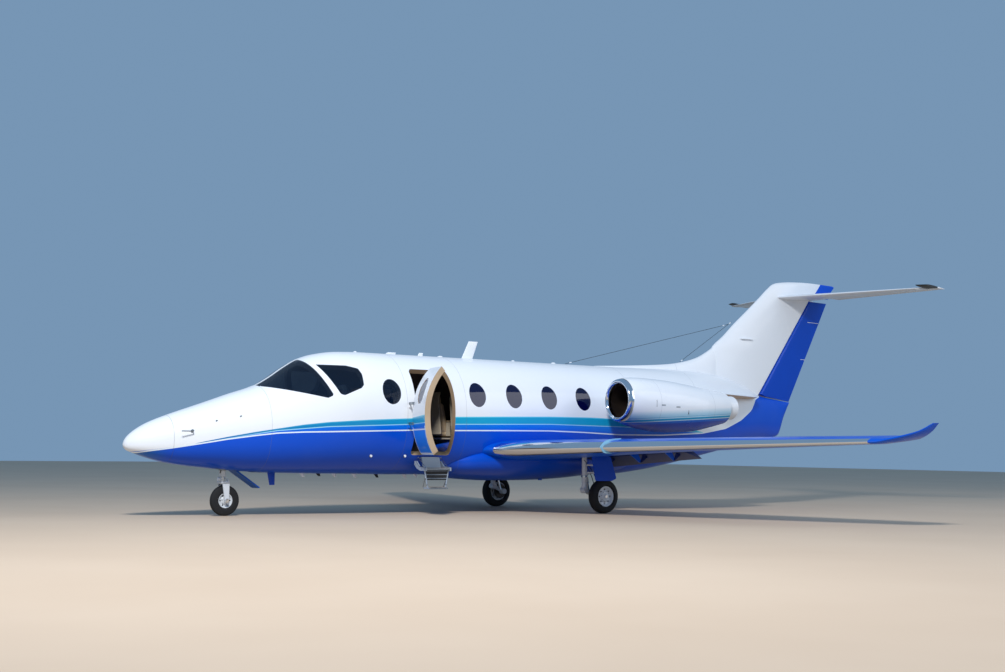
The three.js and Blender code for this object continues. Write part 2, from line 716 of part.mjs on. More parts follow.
function wingRing(y, side, front, rear, count, grow = 0) {
  const list = fractions(front, rear, count);
  const top = list.map((f) => wingPoint(y, side, f, 1, grow));
  const under = list.toReversed().map((f) => wingPoint(y, side, f, -1, grow));
  if (front > 0) return [...top, ...under];
  const nose = wingPoint(y, side, 0, 0).add(new THREE.Vector3(grow, 0, 0));
  return [...top.slice(0, -1), nose, ...under.slice(1)];
}

// A block that takes away everything between two places and two fractions of the chord.
function cove([inner, outer], side, front, rear) {
  const corner = (y, f, lift) => wingPoint(y, side, f, 0).add(new THREE.Vector3(0, 0, lift));
  const corners = (y) => [corner(y, front, 400), corner(y, rear, 400), corner(y, rear, -400), corner(y, front, -400)];
  return loft([corners(inner), corners(outer)]);
}

// The wing inside its tip, or the same a seam larger to cut its neighbours.
const wingPlank = (side, grow = 0) =>
  loft([WING_ROOT, WING_TIP].map((y) => wingRing(y, side, 0, 1, WING_STEPS, grow)));
const WING_STEPS = 9;

// A section whose nose is a half circle about the hinge: used for ailerons.
function hingedRing(y, side, hinge, rear, steps = 4) {
  const middle = wingPoint(y, side, hinge, 0);
  const top = wingPoint(y, side, hinge, 1);
  const radius = top.z - middle.z - 1.5;
  const nose = Array.from({ length: steps * 2 + 1 }, (_, i) => {
    const angle = (Math.PI * i) / (steps * 2);
    return new THREE.Vector3(middle.x + radius * Math.sin(angle), y * side, middle.z + radius * Math.cos(angle));
  });
  const tail = [rear, blend(hinge, rear, 0.45)];
  return [
    ...tail.map((f) => wingPoint(y, side, f, 1)),
    ...nose,
    ...tail.toReversed().map((f) => wingPoint(y, side, f, -1)),
  ];
}

// The flap's section with its round nose, before it is lowered.
function flapRing(y, side) {
  const { chord } = wingAt(y);
  const noseLength = 70 / chord;
  const list = [1, 0.9, FLAP.front + noseLength * 1.6, FLAP.front + noseLength * 0.6, FLAP.front + noseLength * 0.2];
  const thin = (f) => {
    const t = Math.min((f - FLAP.front) / noseLength, 1);
    return Math.sqrt(1 - (1 - t) ** 2);
  };
  return [
    ...list.map((f) => wingPoint(y, side, f, 1, 0, thin(f))),
    wingPoint(y, side, FLAP.front, 0),
    ...list.toReversed().map((f) => wingPoint(y, side, f, -1, 0, thin(f))),
  ];
}

const flapHingePoint = (y, side) => wingPoint(y, side, FLAP.hinge, -1).add(new THREE.Vector3(0, 0, -FLAP.drop));

// Turns a ring of points about the line through two of them.
function turnedAbout(points, from, to, degrees) {
  const axis = to.clone().sub(from).normalize();
  const angle = THREE.MathUtils.degToRad(degrees);
  return points.map((p) => p.clone().sub(from).applyAxisAngle(axis, angle).add(from));
}

function buildWing(name, side) {
  const whole = loft([
    ...[WING_ROOT, WING_TIP].map((y) => wingRing(y, side, 0, 1, WING_STEPS)),
    ...WINGLET.map((row) => wingletRing(row, side)),
  ]);
  const coves = [
    cove([LEADING_EDGE.inner, LEADING_EDGE.outer], side, -0.2, LEADING_EDGE.rear),
    cove([LEADING_EDGE.inner, FLAP.outer + MOVING_GAP], side, FLAP.box, 1.2),
    cove([AILERON.inner - MOVING_GAP, AILERON.outer + MOVING_GAP], side, AILERON.box, 1.2),
  ];
  const box = join(cut(whole, ...coves), ...flapPlates(side));
  const fence = cut(fenceBody(side), leadingEdge(side, SEAM));
  add("wing_" + name, join(cut(box, hull(5000, 8900, -SEAM)), fence), materials.blue);
  add("leading_edge_" + name, leadingEdge(side), materials.polished);
}

// The polished strip along the leading edge, or the same a seam larger to cut its neighbours.
function leadingEdge(side, grow = 0) {
  const { inner, outer, rear } = LEADING_EDGE;
  const ys = [inner + SEAM, outer - SEAM];
  return loft(ys.map((y) => wingRing(y, side, 0, rear - (SEAM - grow) / wingAt(y).chord, 6, grow)));
}

// A winglet section stands square to the curve of the tip: the last column is its cant.
function wingletRing([y, station, z, chord, thickness, cant], side) {
  const tilt = THREE.MathUtils.degToRad(cant);
  const point = (f, face) => {
    const h = face * (halfThickness(f, thickness) * chord + 2 * f);
    return at(station + f * chord, (y - h * Math.sin(tilt)) * side, z + h * Math.cos(tilt));
  };
  const list = fractions(0, 1, WING_STEPS);
  return [...list.map((f) => point(f, 1)), ...list.toReversed().slice(1).map((f) => point(f, -1))];
}

// The fence wraps round the leading edge: its outline stands proud of the section by its reach.
function fenceRing(y, side, reach) {
  const list = [FENCE.rear, 0.12, 0.06, 0.02];
  const point = (f, face) => wingPoint(y, side, f, face, reach * (1 - 0.7 * (f / FENCE.rear)));
  const nose = wingPoint(y, side, 0, 0).add(new THREE.Vector3(reach, 0, 0));
  const lower = [0.02, 0.06, 0.1].map((f) => wingPoint(y, side, f, -1, reach * (1 - 7 * f)));
  return [...list.map((f) => point(f, 1)), nose, ...lower];
}
const fenceBody = (side) =>
  loft([FENCE.y, FENCE.y + FENCE.thickness].map((y) => fenceRing(y, side, FENCE.reach)));

// A plate square to the flap's hinge line: an outline of distances ahead of the hinge and above it,
// in which lengths up to 1 are fractions of the chord, between two offsets along the line.
function hingePlate(y, side, outline, [near, far]) {
  const [inner, outer] = [FLAP.inner, FLAP.outer].map((distance) => flapHingePoint(distance, side));
  const along = outer.clone().sub(inner).normalize();
  const ahead = new THREE.Vector3(1, 0, 0).projectOnPlane(along).normalize();
  const up = new THREE.Vector3().crossVectors(ahead, along).multiplyScalar(side);
  const { chord } = wingAt(y);
  const foot = flapHingePoint(y, side);
  const ring = (offset) =>
    outline.map(([forward, rise]) =>
      foot
        .clone()
        .addScaledVector(along, offset)
        .addScaledVector(ahead, Math.abs(forward) < 1 ? forward * chord : forward)
        .addScaledVector(up, rise),
    );
  return [ring(near), ring(far)];
}

// The fixed plates that carry the flap's hinges, under the wing.
const flapPlates = (side) =>
  FLAP_BRACKETS.map((y) => loft(hingePlate(y, side, PLATE_OUTLINE, [0, PLATE])));
const PLATE = 16;
const PLATE_OUTLINE = [[0.185, 150], [0.05, 150], [-16, 12], [-8, -14], [30, -16]];
const ARM_OUTLINE = [[-0.005, 140], [-0.075, 145], [-14, -6], [0, -14], [14, -6]];

function buildFlap(name, side) {
  const [innerHinge, outerHinge] = [FLAP.inner, FLAP.outer].map((y) => flapHingePoint(y, side));
  const lowered = (points) => turnedAbout(points, innerHinge, outerHinge, -FLAP.degrees * side);
  const body = loft([FLAP.inner, FLAP.outer].map((y) => lowered(flapRing(y, side))));
  const arms = FLAP_BRACKETS.map((y) =>
    loft(hingePlate(y, side, ARM_OUTLINE, [PLATE + SEAM, 2 * PLATE]).map(lowered)),
  );
  add("flap_" + name, join(body, ...arms), materials.blue);
}

function buildAileron(name, side) {
  const body = loft([AILERON.inner, AILERON.outer].map((y) => hingedRing(y, side, AILERON.hinge, 1)));
  const onHinge = (y) => wingPoint(y, side, AILERON.hinge, 0);
  const pins = [
    hingePin(onHinge(AILERON.inner + 40), onHinge(AILERON.inner - MOVING_GAP), ACROSS),
    hingePin(onHinge(AILERON.outer - 40), onHinge(AILERON.outer + MOVING_GAP), ACROSS),
  ];
  add("aileron_" + name, join(body, ...pins), materials.blue);
}

// Engines

function nacelleRing(station, side, grow) {
  const [half, top, low] = [1, 2, 3].map((column) => read(NACELLE, column, station));
  const middle = (top + low) / 2;
  const fade = THREE.MathUtils.clamp((INLET_LEAN.rear - station) / (INLET_LEAN.rear - NACELLE[0][0]), 0, 1);
  return Array.from({ length: NACELLE_SIDES }, (_, i) => {
    const angle = (2 * Math.PI * i) / NACELLE_SIDES;
    const across = Math.cos(angle) * (half - grow);
    return at(
      station - fade * inletLean(side) * across,
      ENGINE.y * side + across,
      middle + Math.sin(angle) * ((top - low) / 2 - grow),
    );
  });
}

function nacelleHull(side, inset) {
  return loft(NACELLE.map(([station]) => nacelleRing(station, side, inset)));
}

const inletLean = (side) => side * Math.tan(THREE.MathUtils.degToRad(INLET_LEAN.degrees));

// A profile of radius and station, turned about an engine's axis; lean draws its outer side forward
// and drop lowers it.
function engineTurned(profile, side, { sides = NACELLE_SIDES, lean = 0, drop = 0 } = {}) {
  const points = profile.map(([radius, station]) => new THREE.Vector2(radius, NOSE_X - station));
  const geometry = new THREE.LatheGeometry(points, sides).rotateZ(-Math.PI / 2);
  const shear = new THREE.Matrix4().set(1, lean, 0, 0, 0, 1, 0, 0, 0, 0, 1, 0, 0, 0, 0, 1);
  return solid(geometry.applyMatrix4(shear).translate(0, ENGINE.y * side, ENGINE.z - drop));
}

function buildEngine(name, side) {
  const { duct, core, nozzle, nozzleDrop: drop } = ENGINE;
  const [coreFront, coreRear] = core;
  const drum = (radius, front, rear) => [[0, front], [radius, front], [radius, rear], [0, rear]];
  const bores = [
    engineTurned(drum(duct, 7700, coreRear), side),
    engineTurned(drum(nozzle - 14, coreRear - 1, NOZZLE_END + 100), side, { drop }),
  ];
  const nozzleRing = engineTurned(drum(nozzle, 10000, NOZZLE_END), side, { drop });
  add("nacelle_" + name, cut(join(nacelleHull(side, 0), nozzleRing), ...bores), materials.white);
  const lip = [
    [duct, 7830 - SEAM],
    [266, 7773],
    [288, 7742],
    [316, 7742],
    [340, 7776],
    [350, 7830 - SEAM],
    [duct, 7830 - SEAM],
  ];
  add("inlet_lip_" + name, engineTurned(lip, side, { lean: inletLean(side) }), materials.polished);
  const coreBody = engineTurned(
    [
      [0, coreFront],
      [140, coreFront],
      [duct - SEAM, coreFront + 60],
      [duct - SEAM, coreRear - SEAM],
      [0, coreRear - SEAM],
    ],
    side,
  );
  const cone = engineTurned([[0, coreRear - 20], [130, coreRear - 20], [110, 9700], [20, 10200], [0, 10200]], side, { drop });
  const shaft = engineTurned(drum(60, 8250 + SEAM, 8450), side, { sides: 16 });
  add("engine_core_" + name, join(coreBody, cone, shaft), materials.steel);
  buildFan(name, side);
}

// The fan: a spinner and disc with wide twisted blades, turning about the engine's axis.
function buildFan(name, side) {
  const spinner = turned([[0, -80], [50, -60], [92, 10], [92, 90], [0, 90]], 14);
  const blades = Array.from({ length: FAN_BLADES }, (_, i) => {
    const rings = [70, ENGINE.fan].map((radius, k) => {
      const pitch = THREE.MathUtils.degToRad([35, 62][k]);
      const half = [38, 44][k];
      return [[-half, -4], [half, -4], [half, 4], [-half, 4]].map(
        ([along, off]) =>
          new THREE.Vector3(
            along * Math.sin(pitch) - off * Math.cos(pitch),
            40 + along * Math.cos(pitch) + off * Math.sin(pitch),
            radius,
          ),
      );
    });
    const turn = (p) => p.applyAxisAngle(new THREE.Vector3(0, 1, 0), (2 * Math.PI * i) / FAN_BLADES);
    return loft(rings.map((points) => points.map(turn)));
  });
  const fan = add("fan_" + name, join(spinner, ...blades), materials.steel);
  fan.rotation.z = Math.PI / 2;
  fan.position.copy(at(ENGINE.fanStation - 20, ENGINE.y * side, ENGINE.z));
}

// Tail

const rudderHinge = (z) => {
  const { low, high } = RUDDER_HINGE;
  return low[0] + ((high[0] - low[0]) * (z - low[1])) / (high[1] - low[1]);
};

function finAt(z) {
  const front = read(FIN, 1, z);
  const rear = read(FIN, 2, z);
  return { front, rear, chord: rear - front };
}
function finHalf(z, station) {
  const { front, chord } = finAt(z);
  const f = THREE.MathUtils.clamp((station - front) / chord, 0, 1);
  return halfThickness(f, FIN_THICKNESS) * chord + 2;
}

// A level section of the fin from its leading edge back to a station.
function finRing(z, rear) {
  const { front } = finAt(z);
  const list = fractions(0, 1, 7).map((f) => front + f * (rear - front));
  const rise = (station) => (station === front ? 0 : finHalf(z, station));
  return [
    ...list.map((station) => at(station, rise(station), z)),
    ...list.toReversed().slice(1).map((station) => at(station, -rise(station), z)),
  ];
}

function rudderRing(z, steps = 4) {
  const hinge = rudderHinge(z);
  const radius = finHalf(z, hinge) - 2;
  const nose = Array.from({ length: steps * 2 + 1 }, (_, i) => {
    const angle = (Math.PI * i) / (steps * 2);
    return at(hinge - radius * Math.sin(angle), radius * Math.cos(angle), z);
  });
  const tail = [finAt(z).rear, blend(hinge, finAt(z).rear, 0.45)];
  return [
    ...tail.map((station) => at(station, finHalf(z, station), z)),
    ...nose,
    ...tail.toReversed().map((station) => at(station, -finHalf(z, station), z)),
  ];
}

// The side view of the tail cone, a moving gap above its top line: the rudder stands clear of it
// across its whole thickness, so that it can swing.
function tailCrown() {
  const rows = FUSELAGE.filter(([station]) => station >= 12000);
  return [[12000, 1500], ...rows.map(([station, , top]) => [station, top + MOVING_GAP]), [TAIL_END, 1500]];
}

function buildFin() {
  const rearOf = (z) => rudderHinge(z) - finHalf(z, rudderHinge(z)) - MOVING_GAP;
  const lowerLevels = [2010, 2400, 2876, 3140, 3371, 3593, 3911, FIN_CAP_FOOT];
  const lower = loft(lowerLevels.map((z) => finRing(z, rearOf(z))));
  const capLevels = [FIN_CAP_FOOT, 4101, 4206, 4262, 4284];
  const cap = loft(capLevels.map((z) => finRing(z, finAt(z).rear)));
  const dorsal = loft(
    DORSAL.map(([station, half, top]) => {
      const shoulder = blend(DORSAL_FOOT, top, 0.8);
      return [[-half, DORSAL_FOOT], [-half, shoulder], [-half / 3, top], [half / 3, top], [half, shoulder], [half, DORSAL_FOOT]]
        .map(([y, z]) => at(station, y, z));
    }),
  );
  const fences = SIDES.map(([, side]) => {
    const outline = [[11830, 60], [11860, 150], [12150, 150], [12180, 60]];
    const shape = new THREE.Shape(outline.map(([station, y]) => new THREE.Vector2(NOSE_X - station, y * side)));
    return solid(new THREE.ExtrudeGeometry(shape, { depth: 12, bevelEnabled: false }).translate(0, 0, 3085));
  });
  const whole = join(lower, cap, dorsal, ...fences);
  add("fin", cut(whole, hull(8300, TAIL_END, -SEAM), tailplaneBody(SEAM)), materials.white);
  const levels = [RUDDER_FOOT, 2400, 2876, 3371, RUDDER_TOP];
  const rudder = loft(levels.map((z) => rudderRing(z)));
  const onHinge = (z) => at(rudderHinge(z), 0, z);
  const [underside, crown] = [0.1, -0.4].map((slope) => new THREE.Vector3(slope, 0, 1).normalize());
  const pins = [
    hingePin(onHinge(RUDDER_TOP - 40), onHinge(RUDDER_PIN_TOP), underside),
    hingePin(onHinge(RUDDER_FOOT + 200), onHinge(RUDDER_PIN_FOOT), crown),
  ];
  const trimmed = cut(rudder, sidePrism(tailCrown(), -400, 400));
  add("rudder", join(trimmed, ...pins), materials.blue);
}

const tailplaneAt = (y) => {
  const [, station, z, chord] = TAILPLANE[0].map((_, column) => read(TAILPLANE, column, y));
  return { station, z, chord };
};
function tailPoint(y, side, f, face, grow = 0) {
  const { station, z, chord } = tailplaneAt(y);
  const rise = face * (halfThickness(Math.max(f, 0), TAILPLANE_THICKNESS) * chord + 2 * f + grow);
  return at(station + f * chord, y * side, z + TAILPLANE_TILT * (f - 0.4) * chord + rise);
}
function tailRing(y, side, front, rear, count, grow = 0) {
  const list = fractions(front, rear, count);
  const nose = front === 0 ? [tailPoint(y, side, 0, 0).add(new THREE.Vector3(grow, 0, 0))] : [];
  const open = front === 0 ? list.slice(0, -1) : list;
  return [
    ...open.map((f) => tailPoint(y, side, f, 1, grow)),
    ...nose,
    ...open.toReversed().map((f) => tailPoint(y, side, f, -1, grow)),
  ];
}

// The fixed tailplane, cut back for the elevators and their horns.
function tailplaneBody(grow = 0) {
  const { inner, box, outer } = ELEVATOR;
  const whole = loft([-outer - 10, 0, outer + 10].map((y) => tailRing(Math.abs(y), Math.sign(y) || 1, 0, 1, 9, grow)));
  const tip = outer + 200;
  const coves = SIDES.flatMap(([, side]) => [
    tailCove([inner - MOVING_GAP, tip], side, box),
    tailCove([HORN_INNER - MOVING_GAP, tip], side, -0.2),
  ]);
  return cut(whole, ...coves);
}

function tailCove([inner, outer], side, front) {
  const corner = (y, f, lift) => tailPoint(y, side, f, 0).add(new THREE.Vector3(0, 0, lift));
  const corners = (y) => [corner(y, front, 300), corner(y, 1.3, 300), corner(y, 1.3, -300), corner(y, front, -300)];
  return loft([corners(inner), corners(outer)]);
}

function elevatorRing(y, side, steps = 4) {
  const middle = tailPoint(y, side, ELEVATOR.hinge, 0);
  const radius = tailPoint(y, side, ELEVATOR.hinge, 1).z - middle.z - 1.5;
  const nose = Array.from({ length: steps * 2 + 1 }, (_, i) => {
    const angle = (Math.PI * i) / (steps * 2);
    return new THREE.Vector3(middle.x + radius * Math.sin(angle), y * side, middle.z + radius * Math.cos(angle));
  });
  const tail = [1, blend(ELEVATOR.hinge, 1, 0.45)];
  return [
    ...tail.map((f) => tailPoint(y, side, f, 1)),
    ...nose,
    ...tail.toReversed().map((f) => tailPoint(y, side, f, -1)),
  ];
}

function buildTailplane() {
  add("tailplane", tailplaneBody(), materials.white);
  for (const [name, side] of SIDES) {
    const { inner, outer, hinge, degrees } = ELEVATOR;
    const [from, to] = [inner, outer].map((y) => tailPoint(y, side, hinge, 0));
    const lowered = (points) => turnedAbout(points, from, to, -degrees * side);
    const body = loft([inner, outer].map((y) => lowered(elevatorRing(y, side))));
    const hornFractions = [hinge + 0.03, 0.6, 0.4, 0.22, 0.1, 0.02];
    const horn = loft(
      [HORN_INNER, outer].map((y) =>
        lowered([
          ...hornFractions.map((f) => tailPoint(y, side, f, 1)),
          tailPoint(y, side, 0, 0),
          ...hornFractions.toReversed().map((f) => tailPoint(y, side, f, -1)),
        ]),
      ),
    );
    const pin = hingePin(
      tailPoint(inner + 40, side, hinge, 0),
      tailPoint(inner - MOVING_GAP, side, hinge, 0),
      ACROSS,
    );
    add("elevator_" + name, join(body, horn, pin), materials.white);
  }
}

// Landing gear

// A tyre's profile: radius, distance along the axle.
function tyreProfile({ tyre, rim, width }) {
  const half = width / 2;
  const crown = tyre - rim;
  return [
    [rim, -half * 0.72],
    [rim + crown * 0.3, -half * 0.98],
    [rim + crown * 0.62, -half],
    [rim + crown * 0.88, -half * 0.78],
    [tyre, -half * 0.32],
    [tyre, half * 0.32],
    [rim + crown * 0.88, half * 0.78],
    [rim + crown * 0.62, half],
    [rim + crown * 0.3, half * 0.98],
    [rim, half * 0.72],
    [rim, -half * 0.72],
  ];
}

// A wheel's profile: two dished flanges on a hub, bored for the axle.
function wheelProfile({ rim, width }, axle) {
  const half = width * 0.36;
  const edge = rim - SEAM;
  return [
    [axle, -half * 0.9],
    [rim * 0.45, -half * 0.9],
    [rim * 0.6, -half * 0.4],
    [rim * 0.92, -half],
    [edge, -half],
    [edge, half],
    [rim * 0.92, half],
    [rim * 0.6, half * 0.4],
    [rim * 0.45, half * 0.9],
    [axle, half * 0.9],
    [axle, -half * 0.9],
  ];
}

function buildWheel(name, gear, side, axle, sides) {
  const place = at(gear.station, gear.y * side, gear.hub);
  const wheel = add(name + "_wheel" + suffix(side), turned(wheelProfile(gear, axle), sides), materials.white);
  const tyre = add(name + "_tyre" + suffix(side), turned(tyreProfile(gear), sides), materials.rubber);
  wheel.position.copy(place);
  tyre.position.copy(place);
}
const suffix = (side) => (side > 0 ? "_left" : side < 0 ? "_right" : "");

const MAIN_AXLE = 28;
const NOSE_AXLE = 16;

function buildMainGear(name, side, wing) {
  const { station, y, hub } = MAIN_GEAR;
  const leg = MAIN_LEG;
  const spot = (s, distance, z) => at(s, distance * side, z);
  const bracket = (z) => rod(spot(7192, leg.y, z), spot(7192, LEG_DOOR_Y[0] - SEAM, z), 15, 8);
  const parts = [
    rod(spot(leg.station, leg.y, leg.head), spot(leg.station, leg.y, leg.foot), leg.radius, 12),
    rod(spot(leg.station, leg.y - 55, leg.foot), spot(leg.station, leg.y + 55, leg.foot), 48, 12),
    rod(spot(leg.station, leg.y, leg.foot), spot(station, leg.y, hub), 34, 8),
    rod(spot(station, leg.y - 40, hub), spot(station, leg.y + 60, hub), 46, 12),
    rod(spot(station, leg.y, hub), spot(station, y + 80, hub), MAIN_AXLE, 12),
    rod(spot(7300, leg.y - 30, 300), spot(7215, leg.y - 20, 640), 24, 8),
    rod(spot(7300, leg.y - 30, 300), spot(7300, leg.y + 20, 305), 22, 8),
    rod(spot(7215, leg.y - 35, 640), spot(leg.station, leg.y, 660), 22, 8),
    rod(spot(station, y - 128, hub), spot(station, y - 98, hub), 118, 16),
    bracket(640),
    bracket(760),
  ];
  add("main_gear_leg_" + name, cut(join(...parts), wing), materials.white);
  const [near, far] = LEG_DOOR_Y;
  const door = sidePrism(LEG_DOOR, ...(side > 0 ? [near, far] : [-far, -near]));
  add("leg_door_" + name, cut(door, wing), materials.blue);
  buildWheel("main", MAIN_GEAR, side, MAIN_AXLE + SEAM, 24);
}

function buildNoseGear() {
  const { station, hub, strut, width } = NOSE_GEAR;
  const legParts = [
    rod(at(strut, 0, 560), at(strut, 0, NOSE_BAY.top - SEAM), 46, 16),
    rod(at(strut, 0, 700), at(1880, 0, NOSE_BAY.top - 25), 20, 10),
    rod(at(1880, -60, NOSE_BAY.top - 25), at(1880, 60, NOSE_BAY.top - 25), 24, 10),
    rod(at(strut, -NOSE_BAY.half + SEAM, 930), at(strut, NOSE_BAY.half - SEAM, 930), 26, 12),
  ];
  add("nose_gear_leg", join(...legParts), materials.white);
  const blade = width / 2 + 22;
  const forkParts = [
    rod(at(strut, 0, 560 - SEAM), at(strut, 0, 462), 32, 16),
    block([strut - 45, station + 40], [-blade - 9, blade + 9], [452, 486]),
    ...[-1, 1].map((sign) => {
      const outline = [[strut - 30, 470], [station + 34, 470], [station + 30, hub - 20], [station - 30, hub - 20]];
      return sidePrism(outline, sign * blade - 9, sign * blade + 9);
    }),
    rod(at(station, -blade - 26, hub), at(station, blade + 26, hub), NOSE_AXLE, 14),
    rod(at(strut + 40, 0, 540), at(strut + 105, 0, 500), 11, 8),
    rod(at(strut + 20, 0, 468), at(strut + 105, 0, 500), 11, 8),
    rod(at(strut - 66, 0, 520), at(strut - 20, 0, 520), 30, 14),
    rod(at(strut, 0, 540), at(strut + 44, 0, 540), 11, 8),
  ];
  add("nose_gear_fork", join(...forkParts), materials.white);
  buildWheel("nose", NOSE_GEAR, 0, NOSE_AXLE + SEAM, 20);
  const reach = NOSE_BAY.half - SEAM;
  const hinge = rod(at(1640, -reach, 648), at(1640, reach, 648), 10, 8);
  const panel = sidePrism([[1630, 640], [1652, 655], [2030, 402], [2012, 390]], -112, 112);
  add("nose_gear_door", join(panel, hinge), materials.blue);
}

const bay = buildNose();
buildCockpit(bay);
buildEntry();
buildCabinSection();
buildRearFuselage();
buildGlazing();
buildDoor();
buildAirstair();
buildCabin();
const wingCutters = SIDES.map(([, side]) => wingPlank(side, SEAM));
buildBellyFairing(wingCutters);
SIDES.forEach(([name, side], i) => {
  buildWing(name, side);
  buildFlap(name, side);
  buildAileron(name, side);
  buildMainGear(name, side, wingCutters[i]);
  buildEngine(name, side);
});
buildFin();
buildTailplane();
buildNoseGear();

export default jet;
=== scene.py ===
"""A light business jet with tail engines and a T-tail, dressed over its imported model.

Metres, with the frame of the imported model: +X towards the nose, +Y to port, +Z up, the ground at
Z 0. Fore-and-aft places are stations, metres aft of the nose tip.
"""

import logging
import math
from dataclasses import dataclass, field
from typing import Callable, Sequence

import bmesh
import bpy
import numpy as np
from mathutils import Matrix, Vector

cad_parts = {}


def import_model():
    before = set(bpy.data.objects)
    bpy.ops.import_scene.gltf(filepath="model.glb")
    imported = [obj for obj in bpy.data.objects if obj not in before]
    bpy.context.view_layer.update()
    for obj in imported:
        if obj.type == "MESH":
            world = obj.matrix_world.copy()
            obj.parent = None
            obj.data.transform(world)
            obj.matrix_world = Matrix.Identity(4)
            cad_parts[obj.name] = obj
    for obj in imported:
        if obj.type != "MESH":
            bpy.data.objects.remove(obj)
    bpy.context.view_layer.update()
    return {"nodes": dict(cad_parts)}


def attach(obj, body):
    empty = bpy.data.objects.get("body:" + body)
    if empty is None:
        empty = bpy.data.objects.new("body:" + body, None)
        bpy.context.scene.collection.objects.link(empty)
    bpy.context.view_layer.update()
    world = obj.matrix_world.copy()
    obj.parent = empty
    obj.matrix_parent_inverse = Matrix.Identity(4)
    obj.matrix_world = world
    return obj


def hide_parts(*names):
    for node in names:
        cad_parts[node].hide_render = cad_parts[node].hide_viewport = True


LOG = logging.getLogger("business_jet")
NOSE_X = 7.38
SIDES = (("left", 1), ("right", -1))


# Tables of the outer forms, as in the model's source

FUSELAGE_ROWS = np.array([
    [0, .012, 1.002, .978, .990], [.025, .060, 1.062, .938, .992], [.060, .096, 1.108, .912, .996],
    [.140, .155, 1.177, .881, 1.005], [.320, .240, 1.287, .822, 1.030], [.600, .325, 1.402, .752, 1.070],
    [.900, .400, 1.506, .707, 1.110], [1.200, .460, 1.608, .678, 1.150], [1.550, .520, 1.731, .640, 1.200],
    [1.950, .588, 1.866, .616, 1.262], [2.150, .622, 1.978, .610, 1.295], [2.400, .668, 2.146, .606, 1.335],
    [2.600, .705, 2.262, .603, 1.368], [2.900, .755, 2.362, .599, 1.412], [3.250, .800, 2.415, .596, 1.455],
    [3.700, .832, 2.430, .592, 1.488], [4.200, .840, 2.430, .585, 1.500], [8.600, .840, 2.430, .590, 1.500],
    [9.200, .826, 2.438, .645, 1.505], [9.900, .765, 2.448, .755, 1.520], [10.600, .655, 2.440, .885, 1.545],
    [11.300, .505, 2.385, 1.020, 1.580], [12.000, .330, 2.230, 1.155, 1.625],
    [12.450, .205, 2.050, 1.232, 1.650], [12.940, .085, 1.990, 1.312, 1.670],
    [13.110, .048, 1.970, 1.640, 1.815], [13.280, .020, 1.952, 1.935, 1.945],
])
BELLY_ROWS = np.array([
    [4.850, .470, .900, .620, .760], [5.150, .640, 1.010, .552, .780], [5.450, .760, 1.090, .521, .800],
    [6.060, .850, 1.130, .490, .815], [6.700, .860, 1.130, .492, .815], [7.270, .850, 1.130, .512, .815],
    [7.700, .810, 1.110, .545, .815], [8.200, .720, 1.050, .592, .815], [8.700, .560, .960, .650, .810],
])
NACELLE_ROWS = np.array([
    [7.830, .350, 2.155, 1.455], [7.920, .372, 2.170, 1.415], [8.120, .392, 2.181, 1.365],
    [8.700, .405, 2.160, 1.303], [9.300, .385, 2.100, 1.320], [9.800, .320, 2.042, 1.402],
    [10.100, .258, 2.004, 1.468],
])
STRAKE_ROWS = np.array([
    [9.700, 1.000, 1.935, 1.890], [10.250, 1.050, 2.000, 1.895], [10.430, 1.060, 2.010, 1.895],
    [11.300, .700, 2.012, 1.905], [11.990, .405, 2.012, 1.945], [12.060, .300, 2.012, 1.975],
])
FIN_ROWS = np.array([
    [1.960, 11.600, 13.280], [2.400, 11.130, 13.527], [2.876, 11.215, 13.793], [3.140, 11.530, 13.941],
    [3.371, 11.800, 14.070], [3.593, 12.085, 14.195], [3.911, 12.483, 14.372], [4.101, 12.714, 14.480],
    [4.206, 12.884, 14.560], [4.262, 13.220, 14.610], [4.284, 13.560, 14.560],
])
DORSAL_ROWS = np.array([
    [8.400, .020, 2.436], [9.200, .080, 2.478], [10.120, .105, 2.545], [10.450, .105, 2.595],
    [10.830, .095, 2.692], [11.137, .085, 2.838], [11.330, .070, 2.960],
])
WING_ROWS = np.array([[.840, 5.560, .977, 2.290, .132, 2.5], [6.200, 7.930, 1.155, .950, .115, -3]])
WINGLET_ROWS = np.array([
    [6.430, 8.050, 1.190, .715, .100, 20], [6.530, 8.225, 1.238, .540, .090, 45],
    [6.590, 8.520, 1.315, .310, .080, 66], [6.618, 8.790, 1.422, .135, .070, 74],
])
TAILPLANE_ROWS = np.array([[0, 12.840, 3.965, 1.490], [2.500, 14.222, 4.045, .540]])


# Numbers and outlines

def along(rows: np.ndarray, column: int, x: np.ndarray | float, root: bool = False) -> np.ndarray:
    """Read one column of a table as a smooth curve of its first column.

    The curve is a cubic between each two rows whose slopes are the weighted harmonic means of the
    chords beside a row, and 0 where those chords turn, so it never passes a row's value.

    Args:
        rows: The table, its first column rising.
        column: The column to read.
        x: Places to read it at.
        root: Whether the curve is drawn over the square root of x, for a blunt nose.

    Returns:
        The values, in the shape of x.
    """
    scale = np.sqrt if root else np.asarray
    knots, values = scale(rows[:, 0]), rows[:, column]
    at = np.clip(scale(np.maximum(np.asarray(x, float), rows[0, 0])), knots[0], knots[-1])
    step = np.diff(knots)
    chord = np.diff(values) / step
    slope = np.empty(len(knots))
    slope[0], slope[-1] = chord[0], chord[-1]
    left, right = chord[:-1], chord[1:]
    first, second = 2 * step[1:] + step[:-1], step[1:] + 2 * step[:-1]
    with np.errstate(divide="ignore", invalid="ignore"):
        mean = (first + second) / (first / left + second / right)
    slope[1:-1] = np.where(left * right > 0, mean, 0)
    i = np.clip(np.searchsorted(knots, at, side="right") - 1, 0, len(step) - 1)
    t = (at - knots[i]) / step[i]
    return (
        (1 + 2 * t) * (1 - t) ** 2 * values[i]
        + t * (1 - t) ** 2 * step[i] * slope[i]
        + t**2 * (3 - 2 * t) * values[i + 1]
        + t**2 * (t - 1) * step[i] * slope[i + 1]
    )


